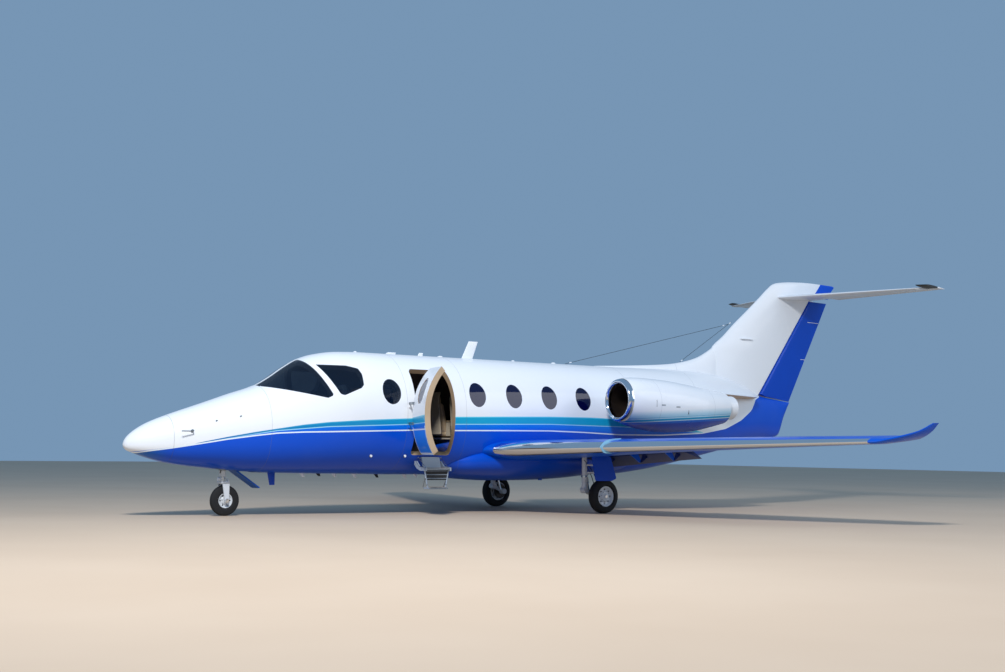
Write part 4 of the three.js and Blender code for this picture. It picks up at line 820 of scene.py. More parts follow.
class Skin:
    """A stretch of hull on a grid of stations and angles, cut along openings.

    Each grid edge that an opening's rim crosses has its nearer end moved onto the rim, found by
    the rule of false position, so the cut runs along points of the grid.
    """

    def __init__(
        self,
        hull: Hull,
        front: float,
        rear: float,
        openings: Sequence[Field] = (),
        step: float = .034,
        sides: int = 156,
    ) -> None:
        """Lay out the grid and cut it."""
        self.hull, self.openings = hull, list(openings)
        count = max(int(round((rear - front) / step)), 2)
        stations = np.linspace(front, rear, count + 1)
        angles = np.arange(sides) * 2 * np.pi / sides
        self.s, self.t = np.meshgrid(stations, angles, indexing="ij")
        self.shape = self.s.shape
        self.f = self.field(self.s, self.t)
        if self.openings:
            self._snap((rear - front) / count, 2 * np.pi / sides)
        self.outside, self.inside = self._sort()

    def field(self, s: np.ndarray, t: np.ndarray) -> np.ndarray:
        """The smallest distance to an opening, negative inside one."""
        if not self.openings:
            return np.ones_like(s)
        points = self.hull.at(s, t)
        return np.min([hole(s, points[..., 1], points[..., 2]) for hole in self.openings], 0)

    def _snap(self, ds: float, dt: float) -> None:
        """Move the nearer end of each crossed edge onto the rim."""
        best = np.full(self.shape, .5)
        move = np.zeros(self.shape + (2,))
        rows = np.arange(self.shape[0])[:, None] * np.ones(self.shape, int)
        for axis, sign in ((0, 1), (0, -1), (1, 1), (1, -1)):
            other = np.roll(self.f, -sign, axis)
            crossed = self.f * other < 0
            if axis == 0:
                crossed &= (rows > 0) & (rows < self.shape[0] - 1)
            with np.errstate(divide="ignore", invalid="ignore"):
                share = np.where(crossed, self.f / (self.f - other), 1)
            step = np.array([ds * sign, 0]) if axis == 0 else np.array([0, dt * sign])
            for _ in range(3):
                there = self.field(self.s + share * step[0], self.t + share * step[1])
                with np.errstate(divide="ignore", invalid="ignore"):
                    better = share * self.f / (self.f - there)
                share = np.where(crossed & np.isfinite(better), np.clip(better, 0, .75), share)
            take = crossed & (share <= best)
            best = np.where(take, share, best)
            move[take] = share[take, None] * step
        moved = np.abs(move).sum(-1) > 0
        self.s, self.t = self.s + move[..., 0], self.t + move[..., 1]
        self.f = np.where(moved, 0, self.f)

    def _sort(self) -> tuple[np.ndarray, np.ndarray]:
        """Quads outside the openings and inside them; a triangle repeats its last corner."""
        faces = grid_faces(*self.shape, round_columns=True)
        f = self.f.ravel()[faces]
        s, t = self.s.ravel()[faces], self.t.ravel()[faces]
        t = t[:, :1] + (t - t[:, :1] + np.pi) % (2 * np.pi) - np.pi
        centre = self.field(s.mean(1), t.mean(1))
        over, under = (f > 0).sum(1), (f < 0).sum(1)
        split = (over == 1) & (under == 1) & (f[:, 0] * f[:, 2] + f[:, 1] * f[:, 3] < 0)
        crossed = np.where(under == 0, True, np.where(over == 0, False, centre > 0))
        out = np.where(over + under == 0, centre > 0, crossed)
        outside, inside = faces[out & ~split], faces[~out & ~split]
        if split.any():
            chosen, signs = faces[split], f[split]
            k = signs.argmax(1)
            n = np.arange(len(k))
            near = np.stack([chosen[n, (k - 1) % 4], chosen[n, k], chosen[n, (k + 1) % 4]], -1)
            far = np.stack([chosen[n, (k + 1) % 4], chosen[n, (k + 2) % 4], chosen[n, (k + 3) % 4]], -1)
            outside = np.concatenate([outside, near[:, [0, 1, 2, 2]]])
            inside = np.concatenate([inside, far[:, [0, 1, 2, 2]]])
        return outside, inside

    def choose(self, faces: np.ndarray, hole: Field) -> np.ndarray:
        """The faces whose middle lies in one opening."""
        points = self.hull.at(self.s, self.t).reshape(-1, 3)
        middle = points[faces].mean(1)
        return faces[hole(NOSE_X - middle[:, 0], middle[:, 1], middle[:, 2]) < .004]

    def wall(
        self,
        piece: Piece,
        faces: np.ndarray,
        outer: float = 0,
        inner: float = WALL,
        finishes: tuple[int, int, int] = (0, 1, 2),
        shape: Callable[[np.ndarray], np.ndarray] | None = None,
        pocket: float | None = None,
    ) -> None:
        """Add faces as a wall: the outer surface, the inner one facing in, and rims between them.

        Args:
            piece: The piece that takes it.
            faces: The quads to use.
            outer: How far the outer surface is drawn in.
            inner: How far the inner surface is drawn in.
            finishes: Finishes of the outer surface, the inner one and the rims.
            shape: Moves the points, such as to trim or turn them.
            pocket: A height that the inner surface lies flat at instead.
        """
        if not len(faces):
            return
        used, index = np.unique(faces, return_inverse=True)
        faces = index.reshape(faces.shape)
        s, t = self.s.ravel()[used], self.t.ravel()[used]
        skin, lining = self.hull.at(s, t, outer), self.hull.at(s, t, inner)
        if pocket is not None:
            lining = skin.copy()
            lining[:, 2] = pocket
        if shape is not None:
            skin, lining = shape(skin), shape(lining)
        points = np.concatenate([skin, lining])
        count = len(skin)
        edges = np.stack([faces, np.roll(faces, -1, 1)], -1).reshape(-1, 2)
        edges = edges[edges[:, 0] != edges[:, 1]]
        key = np.sort(edges, 1) @ np.array([count + 1, 1])
        _, first, times = np.unique(key, return_index=True, return_counts=True)
        a, b = edges[first[times == 1]].T
        turned = faces[:, ::-1]
        turned = np.where((faces[:, 2] == faces[:, 3])[:, None], faces[:, [2, 1, 0, 0]], turned)
        start = piece.count
        piece.add(points, faces, finishes[0])
        rim = np.stack([b, a, a + count, b + count], -1)
        for extra, finish in ((turned + count, finishes[1]), (rim, finishes[2])):
            for face in extra.tolist():
                if face[2] == face[3]:
                    face = face[:3]
                piece.faces.append([corner + start for corner in face])
                piece.finishes.append(finish)


def trimmed_door(points: np.ndarray) -> np.ndarray:
    """Draw the door's rear edge in to the circle that it swings on, then turn it about its hinge."""
    station, out = NOSE_X - points[:, 0], points[:, 1] - DOOR.hinge_y
    reach = np.sqrt(np.maximum(DOOR.door_radius**2 - out**2, 0))
    station = np.minimum(station, DOOR.hinge_station + reach)
    trimmed = np.stack([NOSE_X - station, points[:, 1], points[:, 2]], -1)
    return swung(trimmed)


def swung(points: np.ndarray) -> np.ndarray:
    """Turn points of the closed door about its upright hinge to where it stands open."""
    angle = -math.radians(DOOR.open_degrees)
    centre = np.array([NOSE_X - DOOR.hinge_station, DOOR.hinge_y, 0])
    cos, sin = math.cos(angle), math.sin(angle)
    turn = np.array([[cos, -sin, 0], [sin, cos, 0], [0, 0, 1]])
    return (points - centre) @ turn.T + centre


@dataclass
class Fuselage:
    """The shell from nose to tail cone, with its glazing, its door and the blade aerials on it."""

    radome_seam: float = .600
    nose_seam: float = 1.950
    cockpit_seam: float = 4.060
    entry_seam: float = 5.130
    cabin_seam: float = 8.600
    tail_end: float = 13.280
    seam: float = .0003
    looks: Looks = field(default_factory=dict)

    def build(self) -> None:
        """Build the whole fuselage."""
        self.shell_looks = pick(self.looks, "skin", "lining", "reveal")
        self.build_nose()
        self.build_cockpit()
        self.build_cabin()
        self.build_rear()
        self.build_belly()
        self.build_door()

    def build_nose(self) -> None:
        """The radome and the nose section with the gear's bay."""
        radome = Piece("radome_shell")
        skin = Skin(FUSELAGE, 0, self.radome_seam - self.seam, step=.02, sides=96)
        radome.add(skin.hull.at(skin.s, skin.t), skin.outside)
        radome.finish("airframe", "white_paint", self.shell_looks, ["radome"])
        nose = Piece("nose_shell")
        skin = Skin(FUSELAGE, self.radome_seam + .0015, self.nose_seam - self.seam, [gear_bay])
        nose.add(skin.hull.at(skin.s, skin.t), skin.outside)
        skin.wall(nose, skin.inside, pocket=1.010, finishes=(2, 2, 2))
        count = len(skin.inside)
        first = len(skin.outside)
        del nose.faces[first : first + count], nose.finishes[first : first + count]
        nose.finish("airframe", "white_paint", self.shell_looks, ["nose_section"])

    def build_cockpit(self) -> None:
        """The cockpit's shell and its panes."""
        panes = [cockpit_pane(outline, side) for side in (1, -1) for outline in (WINDSHIELD, SIDE_WINDOW)]
        ovals = [oval_window(FRONT_WINDOW, side) for side in (1, -1)]
        holes = [*panes, *ovals, gear_bay]
        skin = Skin(FUSELAGE, self.nose_seam, self.cockpit_seam - self.seam, holes, step=.022, sides=240)
        shell = Piece("cockpit_shell")
        skin.wall(shell, skin.outside)
        outline = [(2.190, .640), (2.320, .640), (2.320, .432), (2.235, .432)]
        shell.loft(blade(outline, .009), 0)
        shell.finish("airframe", "white_paint", self.shell_looks, ["cockpit_section"])
        for index, (name, _) in enumerate(SIDES):
            glass = Piece("cockpit_glass_" + name)
            for hole in (*panes[2 * index : 2 * index + 2], ovals[index]):
                skin.wall(glass, skin.choose(skin.inside, hole), .004, .014, (0, 0, 0))
            looks = pick(self.looks, "clear_glass")
            glass.finish("airframe", "window_glass", looks, ["cockpit_glazing_" + name])

    def build_cabin(self) -> None:
        """The entry and cabin shells with their oval windows."""
        entry_holes = [doorway(0, DOOR.opening_radius), oval_window(STARBOARD_WINDOWS[0], -1)]
        skins = [
            Skin(FUSELAGE, self.cockpit_seam, self.entry_seam - self.seam, entry_holes, step=.024, sides=200),
        ]
        entry = Piece("entry_shell")
        skins[0].wall(entry, skins[0].outside, finishes=(0, 1, 3))
        for z in (1.330, 1.630):
            station, y = DOOR.hinge_station, DOOR.hinge_y
            entry.rod(spot(station, y, z - .040), spot(station, y, z - .0003), .015, 20)
            entry.rod(spot(station, y, z - .040), spot(station, y, z + .040), .007, 12)
            entry.block([NOSE_X - station - .015, .79, z - .040], [NOSE_X - station + .015, y, z - .0003])
        entry.finish("airframe", "white_paint", [*self.shell_looks, self.looks["jamb"]], ["entry_section"])
        ovals = {
            1: [oval_window(s, 1) for s in PORT_WINDOWS],
            -1: [oval_window(s, -1) for s in STARBOARD_WINDOWS[1:]],
        }
        cabin_holes = [*ovals[1], *ovals[-1]]
        skins.append(Skin(FUSELAGE, self.entry_seam, self.cabin_seam - self.seam, cabin_holes, sides=168))
        cabin = Piece("cabin_shell")
        skins[1].wall(cabin, skins[1].outside)
        cabin.loft(blade([(5.590, 2.400), (5.810, 2.400), (5.925, 2.712), (5.745, 2.712)], .008), 0)
        cabin.finish("airframe", "white_paint", self.shell_looks, ["cabin_section"])
        for name, side in SIDES:
            glass = Piece("cabin_glass_" + name)
            for hole in ovals[side]:
                skins[1].wall(glass, skins[1].choose(skins[1].inside, hole), .004, .014, (0, 0, 0))
            if side < 0:
                skins[0].wall(glass, skins[0].choose(skins[0].inside, entry_holes[1]), .004, .014, (0, 0, 0))
            looks = pick(self.looks, "dark_glass")
            glass.finish("airframe", "window_glass", looks, ["cabin_windows_" + name])

    def build_rear(self) -> None:
        """The rear fuselage with its pylons and strakes."""
        skin = Skin(FUSELAGE, self.cabin_seam, self.tail_end, step=.045, sides=144)
        rear = Piece("rear_shell")
        rear.add(skin.hull.at(skin.s, skin.t), skin.outside)
        f = np.sin(np.linspace(0, np.pi / 2, 20)) ** 2
        for _, side in SIDES:
            ys = np.linspace(.62, 1.02, 5)[:, None] * side
            lift = half_thickness(f[::-1], .085) * 1.610
            upper = place(8.640 + f[None, ::-1] * 1.610, ys, 1.905 + lift + .003 * (f[::-1] > 0))
            under = place(8.640 + f[None, 1:] * 1.610, ys, 1.905 - half_thickness(f[1:], .085) * 1.610 - .003)
            rear.loft(np.concatenate([upper, under], 1))
            self.build_strake(rear, side)
        # Finish 3, tan, is a painted reflection of the ground on the strakes' undersides.
        looks = [*self.shell_looks, self.looks["tan"], self.looks["shadow_and_seams"]]
        rear.finish("airframe", "white_paint", looks, ["rear_fuselage"])

    def build_strake(self, rear: Piece, side: int) -> None:
        """The strake from a pylon's rear edge along the tail cone: flat above, sloping to its edge below."""
        stations = np.linspace(9.700, 12.060, 40)
        edge, top, low = (
            np.interp(stations, STRAKE_ROWS[:, 0], STRAKE_ROWS[:, column]) for column in (1, 2, 3)
        )
        root = np.full_like(edge, .150)
        ys = np.stack([root, edge - .020, edge - .006, edge, edge - .006, edge - .020, root], -1)
        zs = np.stack([low, top - .023, top - .018, top - .011, top - .004, top, top], -1)
        rings = place(stations[:, None], ys * side, zs)
        rear.loft(rings)
        under = len(rings[0])
        count = (len(stations) - 1) * under
        first = len(rear.finishes) - count - 2
        # The two underside strips of each ring take finish 3: tan, a painted reflection of the ground.
        for k in range(count):
            if k % under in (0, 1):
                rear.finishes[first + k] = 3

    def build_belly(self) -> None:
        """The fairing under the wing, with its two jacking pads."""
        skin = Skin(BELLY, 4.850, 8.700, step=.05, sides=96)
        belly = Piece("belly_fairing_shell")
        belly.add(skin.hull.at(skin.s, skin.t), skin.outside)
        for _, side in SIDES:
            belly.rod(spot(6.900, .420 * side, .500), spot(6.900, .420 * side, .620), .035, 24)
        belly.finish("airframe", "dark_blue_paint", pick(self.looks, "skin"), ["belly_fairing"])

    def build_door(self) -> None:
        """The open door: its panel, window, trim and hinge arms."""
        window = oval_window(DOOR_WINDOW, 1)
        panel_field = doorway(DOOR.gap, DOOR.door_radius)
        skin = Skin(
            FUSELAGE, self.cockpit_seam, self.entry_seam,
            [lambda s, y, z: np.maximum(panel_field(s, y, z), -window(s, y, z)), window],
            step=.022, sides=220,
        )
        panel = Piece("cabin_door_panel")
        keep = skin.choose(skin.inside, panel_field)
        middle = skin.hull.at(skin.s, skin.t).reshape(-1, 3)[keep].mean(1)
        in_window = window(NOSE_X - middle[:, 0], middle[:, 1], middle[:, 2]) < 0
        skin.wall(panel, keep[~in_window], 0, WALL, (0, 1, 2), trimmed_door)
        start = len(panel.points)
        for z in (1.330, 1.630):
            station, y = DOOR.hinge_station, DOOR.hinge_y
            profile = [(.0075, 0), (.015, 0), (.015, .040), (.0075, .040)]
            panel.turned(profile, spot(station, y, z), Vector((0, 0, 1)), 20, 3, closed=True)
            arm = NOSE_X - DOOR.front
            panel.block([arm - .014, y - .005, z], [NOSE_X - station - .0095, y + .009, z + .040], 3, .001)
            panel.block([arm - .070, y - .045, z], [arm - .010, y + .009, z + .040], 3, .002)
        panel.points[start:] = [swung(points) for points in panel.points[start:]]
        door_looks = pick(self.looks, "door_skin", "door_lining", "door_rim", "steel")
        panel.finish("door", "white_paint", door_looks, ["cabin_door"])
        glass = Piece("door_glass")
        skin.wall(glass, keep[in_window], .004, .014, (0, 0, 0), swung)
        glass.finish("door", "window_glass", pick(self.looks, "dark_glass"), ["door_window"])


def blade(outline: Sequence[tuple[float, float]], half: float) -> np.ndarray:
    """Rings of an upright blade antenna: its four-sided side view, thinned to its front and rear.

    The outline gives front foot, rear foot, rear tip and front tip as stations and heights.
    """
    (s0, z0), (s1, z1), (s2, z2), (s3, z3) = outline
    t = np.linspace(0, 1, 9)
    f = np.sin(np.linspace(0, np.pi / 2, 12)) ** 2
    swell = np.sqrt(np.clip(1 - (2 * f - 1) ** 2, 0, 1)) * half
    rings = []
    for k in t:
        front, rear = s0 + (s3 - s0) * k, s1 + (s2 - s1) * k
        low, high = z0 + (z3 - z0) * k, z1 + (z2 - z1) * k
        thin = math.sqrt(max(1 - max(k - .9, 0) ** 2 / .0125, .2))
        port = place(front + (rear - front) * f, swell * thin, low + (high - low) * f)
        back = f[-2:0:-1]
        starboard = place(front + (rear - front) * back, -swell[-2:0:-1] * thin, low + (high - low) * back)
        rings.append(np.concatenate([port, starboard]))
    return np.array(rings)


# Wings and tail


def chord_steps(front: float, rear: float, count: int) -> np.ndarray:
    """Fractions of the chord from front to rear, closer together at both ends of the section."""
    return front + (rear - front) * (1 - np.cos(np.linspace(0, np.pi, count + 1))) / 2


@dataclass(frozen=True)
class WingForm:
    """The wing's sections, straight between root and tip."""

    rows: np.ndarray
    camber: float = .018

    def point(
        self, y: np.ndarray, side: int, f: np.ndarray, face: float, thin: np.ndarray | float = 1
    ) -> np.ndarray:
        """Points of the wing at distances from the centreline and fractions of the chord.

        The mean line is the chord line, turned down by the incidence, plus a parabola of camber;
        the surface lies half the aerofoil's thickness over or under it.
        """
        station, z, chord, thickness, degrees = (straight(self.rows, column, y) for column in range(1, 6))
        turn = np.radians(degrees)
        rise = 4 * self.camber * f * (1 - f) * chord
        rise = rise + face * (half_thickness(f, thickness) * chord * thin + .002 * np.minimum(f, 1) * (f > 0))
        return place(station + f * chord * np.cos(turn), y * side, z - f * chord * np.sin(turn) + rise)

    def ring(self, y: float, side: int, front: float, rear: float, count: int = 22) -> np.ndarray:
        """A closed section between two fractions of the chord, over the top and back below."""
        f = chord_steps(front, rear, count)
        under = f[:0:-1] if front <= 0 else f[::-1]
        return np.concatenate([self.point(y, side, f, 1), self.point(y, side, under, -1)])

    def chord(self, y: float) -> float:
        """The chord at a distance from the centreline."""
        return float(straight(self.rows, 3, y))


WING = WingForm(WING_ROWS)


def turned_line(points: np.ndarray, start: np.ndarray, end: np.ndarray, degrees: float) -> np.ndarray:
    """Turn points about the line through two points, by the rule of the right hand."""
    axis = Vector(end - start).normalized()
    turn = np.array(Matrix.Rotation(math.radians(degrees), 3, axis))
    return (points - start) @ turn.T + start


@dataclass
class Wing:
    """One wing: its box, winglet, leading edge, fence, flap and aileron."""

    name: str
    side: int
    root: float = .710
    tip: float = 6.300
    strip_rear: float = .07
    strip: tuple[float, float] = (.905, 6.200)
    flap: tuple[float, float] = (.985, 2.750)
    flap_box: float = .742
    flap_front: float = .757
    flap_hinge: float = .785
    flap_drop: float = .120
    flap_degrees: float = 20
    brackets: tuple[float, ...] = (1.400, 2.000, 2.600)
    aileron: tuple[float, float] = (3.930, 6.190)
    aileron_box: float = .69
    aileron_hinge: float = .735
    gap: float = .012
    fence_y: float = 2.600
    looks: Looks = field(default_factory=dict)

    def build(self) -> None:
        """Build the wing and its moving surfaces."""
        self.build_box()
        self.build_strip()
        self.build_flap()
        self.build_aileron()

    def span(
        self, piece: Piece, inner: float, outer: float, front: float, rear: float, count: int = 22
    ) -> None:
        """Add one stretch of wing between two fractions of the chord."""
        ys = np.linspace(inner, outer, max(int((outer - inner) / .12), 1) + 1)
        piece.loft(np.array([WING.ring(y, self.side, front, rear, count) for y in ys]))

    def build_box(self) -> None:
        """The fixed wing, cut back for its moving surfaces, with winglet, fence and hinge plates."""
        wing = Piece("wing_skin_" + self.name)
        strip = self.strip_rear
        self.span(wing, self.root, self.strip[0], 0, 1)
        self.span(wing, self.strip[0], self.flap[0] - self.gap, strip, 1)
        self.span(wing, self.flap[0] - self.gap, self.flap[1] + self.gap, strip, self.flap_box)
        self.span(wing, self.flap[1] + self.gap, self.aileron[0] - self.gap, strip, 1)
        self.span(wing, self.aileron[0] - self.gap, self.aileron[1] + self.gap, strip, self.aileron_box)
        self.span(wing, self.strip[1], self.aileron[1] + self.gap, 0, 1)
        self.build_tip(wing)
        for y in self.brackets:
            outline = [(.185, .150), (.05, .150), (-16, .012), (-8, -.014), (30, -.016)]
            rings = [self.hinge_plate(y, outline, offset) for offset in (0, .016)]
            wing.loft(np.array(rings))
        self.build_fence(wing)
        wing.finish("airframe", "blue_paint", pick(self.looks, "wing", "fence"), ["wing_" + self.name])

    def build_tip(self, wing: Piece) -> None:
        """The tip and winglet: sections blended by a smooth curve from the wing's last one.

        Each section's place, chord, thickness and cant are read along the rows' own number, so
        the tip turns up in one bend.
        """
        tip = self.tip
        station, z, chord, thickness, degrees = (
            float(straight(WING_ROWS, column, tip)) for column in range(1, 6)
        )
        rows = [[tip, station, z, chord, thickness, 3], *WINGLET_ROWS.tolist()]
        table = np.column_stack([np.arange(len(rows)), np.array(rows)])
        last = float(self.aileron[1] + self.gap)
        f = chord_steps(0, 1, 22)
        rings = [WING.ring(last, self.side, 0, 1), WING.ring(tip, self.side, 0, 1)]
        for k in np.linspace(.2, len(rows) - 1, 24):
            y, s, height, length, thick, cant = (float(along(table, column, k)) for column in range(1, 7))
            tilt = math.radians(cant)
            fade = max(1 - k, 0)
            droop = -f * length * math.sin(math.radians(degrees)) * (1 - min(k, 1) * .55)
            bow = 4 * WING.camber * f * (1 - f) * length * fade
            half = half_thickness(f, thick) * length + .002 * f
            lean, rise, middle = half * math.sin(tilt), half * math.cos(tilt), height + droop + bow
            top = place(s + f * length, (y - lean) * self.side, middle + rise)
            low = place(s + f * length, (y + lean) * self.side, middle - rise)
            rings.append(np.concatenate([top, low[:0:-1]]))
        wing.loft(np.array(rings))

    def build_fence(self, wing: Piece) -> None:
        """The fence round the leading edge: the section drawn out by a reach that fades aft."""
        f = chord_steps(0, .2, 14)
        rings = []
        for y in (self.fence_y, self.fence_y + .008):
            reach = .042 * np.clip(1 - .7 * f / .2, 0, 1)
            drawn = place(np.where(f < .02, NOSE_X - reach, NOSE_X), 0, reach * (f >= .02))
            top = WING.point(y, self.side, f, 1) + drawn
            g = f[(f > 0) & (f <= .1)]
            low = WING.point(y, self.side, g, -1) - place(NOSE_X, 0, .042 * np.clip(1 - 8 * g, 0, 1))
            rings.append(np.concatenate([top, low[::-1]]))
        wing.loft(np.array(rings), 1)

    def build_strip(self) -> None:
        """The polished strip round the leading edge."""
        strip = Piece("leading_edge_strip_" + self.name)
        inner, outer = self.strip[0] + .0003, self.strip[1] - .0003
        ys = np.linspace(inner, outer, 46)
        strip.loft(np.array([
            WING.ring(y, self.side, 0, self.strip_rear - .0003 / WING.chord(y), 18) for y in ys
        ]))
        looks = pick(self.looks, "polished")
        strip.finish("airframe", "polished_metal", looks, ["leading_edge_" + self.name])

    def hinge_point(self, y: float) -> np.ndarray:
        """Where the flap's hinge line passes at a distance from the centreline."""
        return WING.point(y, self.side, self.flap_hinge, -1) - np.array([0, 0, self.flap_drop])

    def hinge_plate(self, y: float, outline: Sequence[tuple[float, float]], offset: float) -> np.ndarray:
        """A plate's outline square to the flap's hinge line, offset along it.

        The outline gives distances ahead of the hinge, as a fraction of the chord or as
        millimetres where over 1, and metres above it.
        """
        inner, outer = (self.hinge_point(distance) for distance in self.flap)
        way = (outer - inner) / np.linalg.norm(outer - inner)
        ahead = np.array([1, 0, 0]) - way * way[0]
        ahead /= np.linalg.norm(ahead)
        up = np.cross(ahead, way) * self.side
        rows = [(x * WING.chord(y) if abs(x) < 1 else x / 1000, rise) for x, rise in outline]
        return np.array([self.hinge_point(y) + way * offset + ahead * x + up * rise for x, rise in rows])

    def build_flap(self) -> None:
        """The lowered flap with its arms."""
        flap = Piece("flap_panel_" + self.name)
        inner, outer = (self.hinge_point(distance) for distance in self.flap)
        rings = []
        for y in np.linspace(*self.flap, 16):
            nose = .070 / WING.chord(y)
            f = self.flap_front + (1 - self.flap_front) * np.linspace(0, 1, 16) ** 1.6
            thin = np.sqrt(1 - (1 - np.clip((f - self.flap_front) / nose, 0, 1)) ** 2)
            top, low = WING.point(y, self.side, f, 1, thin), WING.point(y, self.side, f, -1, thin)
            low[0] = top[0] = (low[0] + top[0]) / 2
            section = np.concatenate([top, low[:0:-1]])
            rings.append(turned_line(section, inner, outer, -self.flap_degrees * self.side))
        flap.loft(np.array(rings))
        for y in self.brackets:
            outline = [(-.005, .140), (-.075, .145), (-14, -.006), (0, -.014), (14, -.006)]
            plates = [self.hinge_plate(y, outline, offset) for offset in (.0163, .032)]
            flap.loft(np.array([
                turned_line(plate, inner, outer, -self.flap_degrees * self.side) for plate in plates
            ]))
        # The flap takes a darker navy than the wing: painted shade.
        flap.finish("flap_" + self.name, "blue_paint", pick(self.looks, "flap"), ["flap_" + self.name])

    def build_aileron(self) -> None:
        """The aileron: a half-round nose about its hinge, and the wing's own section behind."""
        panel = Piece("aileron_panel_" + self.name)
        rings = []
        for y in np.linspace(*self.aileron, 20):
            middle = WING.point(y, self.side, self.aileron_hinge, 0)
            radius = WING.point(y, self.side, self.aileron_hinge, 1)[2] - middle[2] - .0015
            turn = np.linspace(0, np.pi, 13)
            nose = middle + np.stack([radius * np.sin(turn), 0 * turn, radius * np.cos(turn)], -1)
            f = np.linspace(1, self.aileron_hinge + .02, 8)
            over, under = WING.point(y, self.side, f, 1), WING.point(y, self.side, f[::-1], -1)
            rings.append(np.concatenate([over, nose, under]))
        panel.loft(np.array(rings))
        inner, outer = self.aileron
        for start, end in ((inner + .03, inner - self.gap + .001), (outer - .03, outer + self.gap - .001)):
            a, b = (WING.point(y, self.side, self.aileron_hinge, 0) for y in (start, end))
            panel.rod(Vector(a), Vector(b), .0078, 12)
        panel.finish("aileron_" + self.name, "blue_paint", pick(self.looks, "wing"), ["aileron_" + self.name])


@dataclass
class Tail:
    """Fin, rudder, tailplane and elevators."""

    hinge_low: tuple[float, float] = (12.440, 2.055)
    hinge_high: tuple[float, float] = (13.880, 3.947)
    fin_thickness: float = .095
    cap_foot: float = 4.0095
    rudder_top: float = 3.925
    gap: float = .012
    elevator: tuple[float, float] = (.320, 2.490)
    thickness: float = .06
    tilt: float = .05
    box: float = .765
    hinge: float = .80
    droop: float = 7.5
    horn_inner: float = 2.320
    looks: Looks = field(default_factory=dict)

    def build(self) -> None:
        """Build the whole tail."""
        self.build_fin()
        self.build_rudder()
        self.build_tailplane()
        for name, side in SIDES:
            self.build_elevator(name, side)

    def hinge_station(self, z: float) -> float:
        """Where the rudder's hinge line passes at a height."""
        (s0, z0), (s1, z1) = self.hinge_low, self.hinge_high
        return s0 + (s1 - s0) * (z - z0) / (z1 - z0)

    def half(self, z: float, station: np.ndarray) -> np.ndarray:
        """Half the fin's thickness at a height and station."""
        front, rear = float(along(FIN_ROWS, 1, z)), float(along(FIN_ROWS, 2, z))
        f = np.clip((np.asarray(station) - front) / (rear - front), 0, 1)
        return half_thickness(f, self.fin_thickness) * (rear - front) + .002 * (f > 0)

    def fin_ring(self, z: float, rear: float) -> np.ndarray:
        """A level section of the fin from its leading edge to a station."""
        front = float(along(FIN_ROWS, 1, z))
        s = chord_steps(front, rear, 22)
        half = self.half(z, s)
        return np.concatenate([place(s, half, z), place(s[:0:-1], -half[:0:-1], z)])

    def build_fin(self) -> None:
        """The fin with its cap, dorsal fairing and small side blades."""
        fin = Piece("fin_skin")

        def rear_of(z: float) -> float:
            station = self.hinge_station(z)
            return station - float(self.half(z, station)) - self.gap

        fin.loft(np.array([self.fin_ring(z, rear_of(z)) for z in np.linspace(2.010, self.cap_foot, 60)]))
        levels = self.cap_foot + (4.284 - self.cap_foot) * np.sin(np.linspace(0, np.pi / 2, 22))
        fin.loft(np.array([self.fin_ring(z, float(along(FIN_ROWS, 2, z))) for z in levels]))
        rings = []
        for s in np.linspace(8.400, 11.330, 70):
            half, top = float(along(DORSAL_ROWS, 1, s)), float(along(DORSAL_ROWS, 2, s))
            t = np.linspace(-1, 1, 21)
            swell = np.clip(1 - np.abs(t) ** 3.2, 0, 1) ** .5
            rings.append(place(s, half * t, 2.300 + (top - 2.300) * swell))
        fin.loft(np.array(rings))
        for _, side in SIDES:
            outline = [(11.830, .060), (11.860, .150), (12.150, .150), (12.180, .060)]
            fin.plate([spot(s, y * side, 3.085) for s, y in outline], Vector((0, 0, .012)))
        fin.finish("airframe", "white_paint", pick(self.looks, "skin"), ["fin"])

    def build_rudder(self) -> None:
        """The rudder: a half-round nose about its hinge, clear of the tail cone's top line."""
        rudder = Piece("rudder_panel")
        rings = []
        foot = 1.962
        for z in np.linspace(foot, self.rudder_top, 50):
            station = self.hinge_station(z)
            radius = float(self.half(z, station)) - .002
            turn = np.linspace(0, np.pi, 13)
            rear = float(along(FIN_ROWS, 2, z))
            floor = self.crown_station(z)
            nose = np.maximum(station - radius * np.sin(turn), floor)
            aft = np.linspace(rear, max(station, floor) + .02, 9)
            halves = self.half(z, aft)
            width = radius * np.cos(turn) if floor < station else np.linspace(1, -1, 13) * float(halves[-1])
            faces = place(aft, halves, z), place(nose, width, z), place(aft[::-1], -halves[::-1], z)
            rings.append(np.concatenate(faces))
        rudder.loft(np.array(rings))
        for start, end in ((self.rudder_top - .04, 3.953), (2.160, 2.0565)):
            a, b = (spot(self.hinge_station(level), 0, level) for level in (start, end))
            rudder.rod(a, b, .0078, 12)
        for z, s0, s1 in ((3.520, 13.790, 14.140), (2.790, 13.610, 13.760)):
            for side in (1, -1):
                s = np.linspace(s0, s1, 12)
                half = self.half(z, s) * side
                rings = [place(s, half - .002 * side, z - .004), place(s, half + .0012 * side, z - .004)]
                rings += [place(s, half + .0012 * side, z + .004), place(s, half - .002 * side, z + .004)]
                rudder.loft(np.stack(rings, 1), 1)
        rudder.finish("rudder", "blue_paint", pick(self.looks, "rudder", "white"), ["rudder"])

    def crown_station(self, z: float) -> float:
        """The station behind which a height is clear of the tail cone's top line by the gap."""
        stations = np.linspace(12.0, 13.28, 129)
        clear = along(FUSELAGE_ROWS, 2, stations, root=True) + self.gap < z
        return float(stations[clear.argmax()]) if clear.any() else 13.28

    def tail_point(self, y: np.ndarray, side: int, f: np.ndarray, face: float) -> np.ndarray:
        """Points of the tailplane at distances from the centreline and fractions of the chord."""
        station, z, chord = (straight(TAILPLANE_ROWS, column, y) for column in (1, 2, 3))
        rise = face * (half_thickness(f, self.thickness) * chord + .002 * f)
        return place(station + f * chord, y * side, z + self.tilt * (f - .4) * chord + rise)

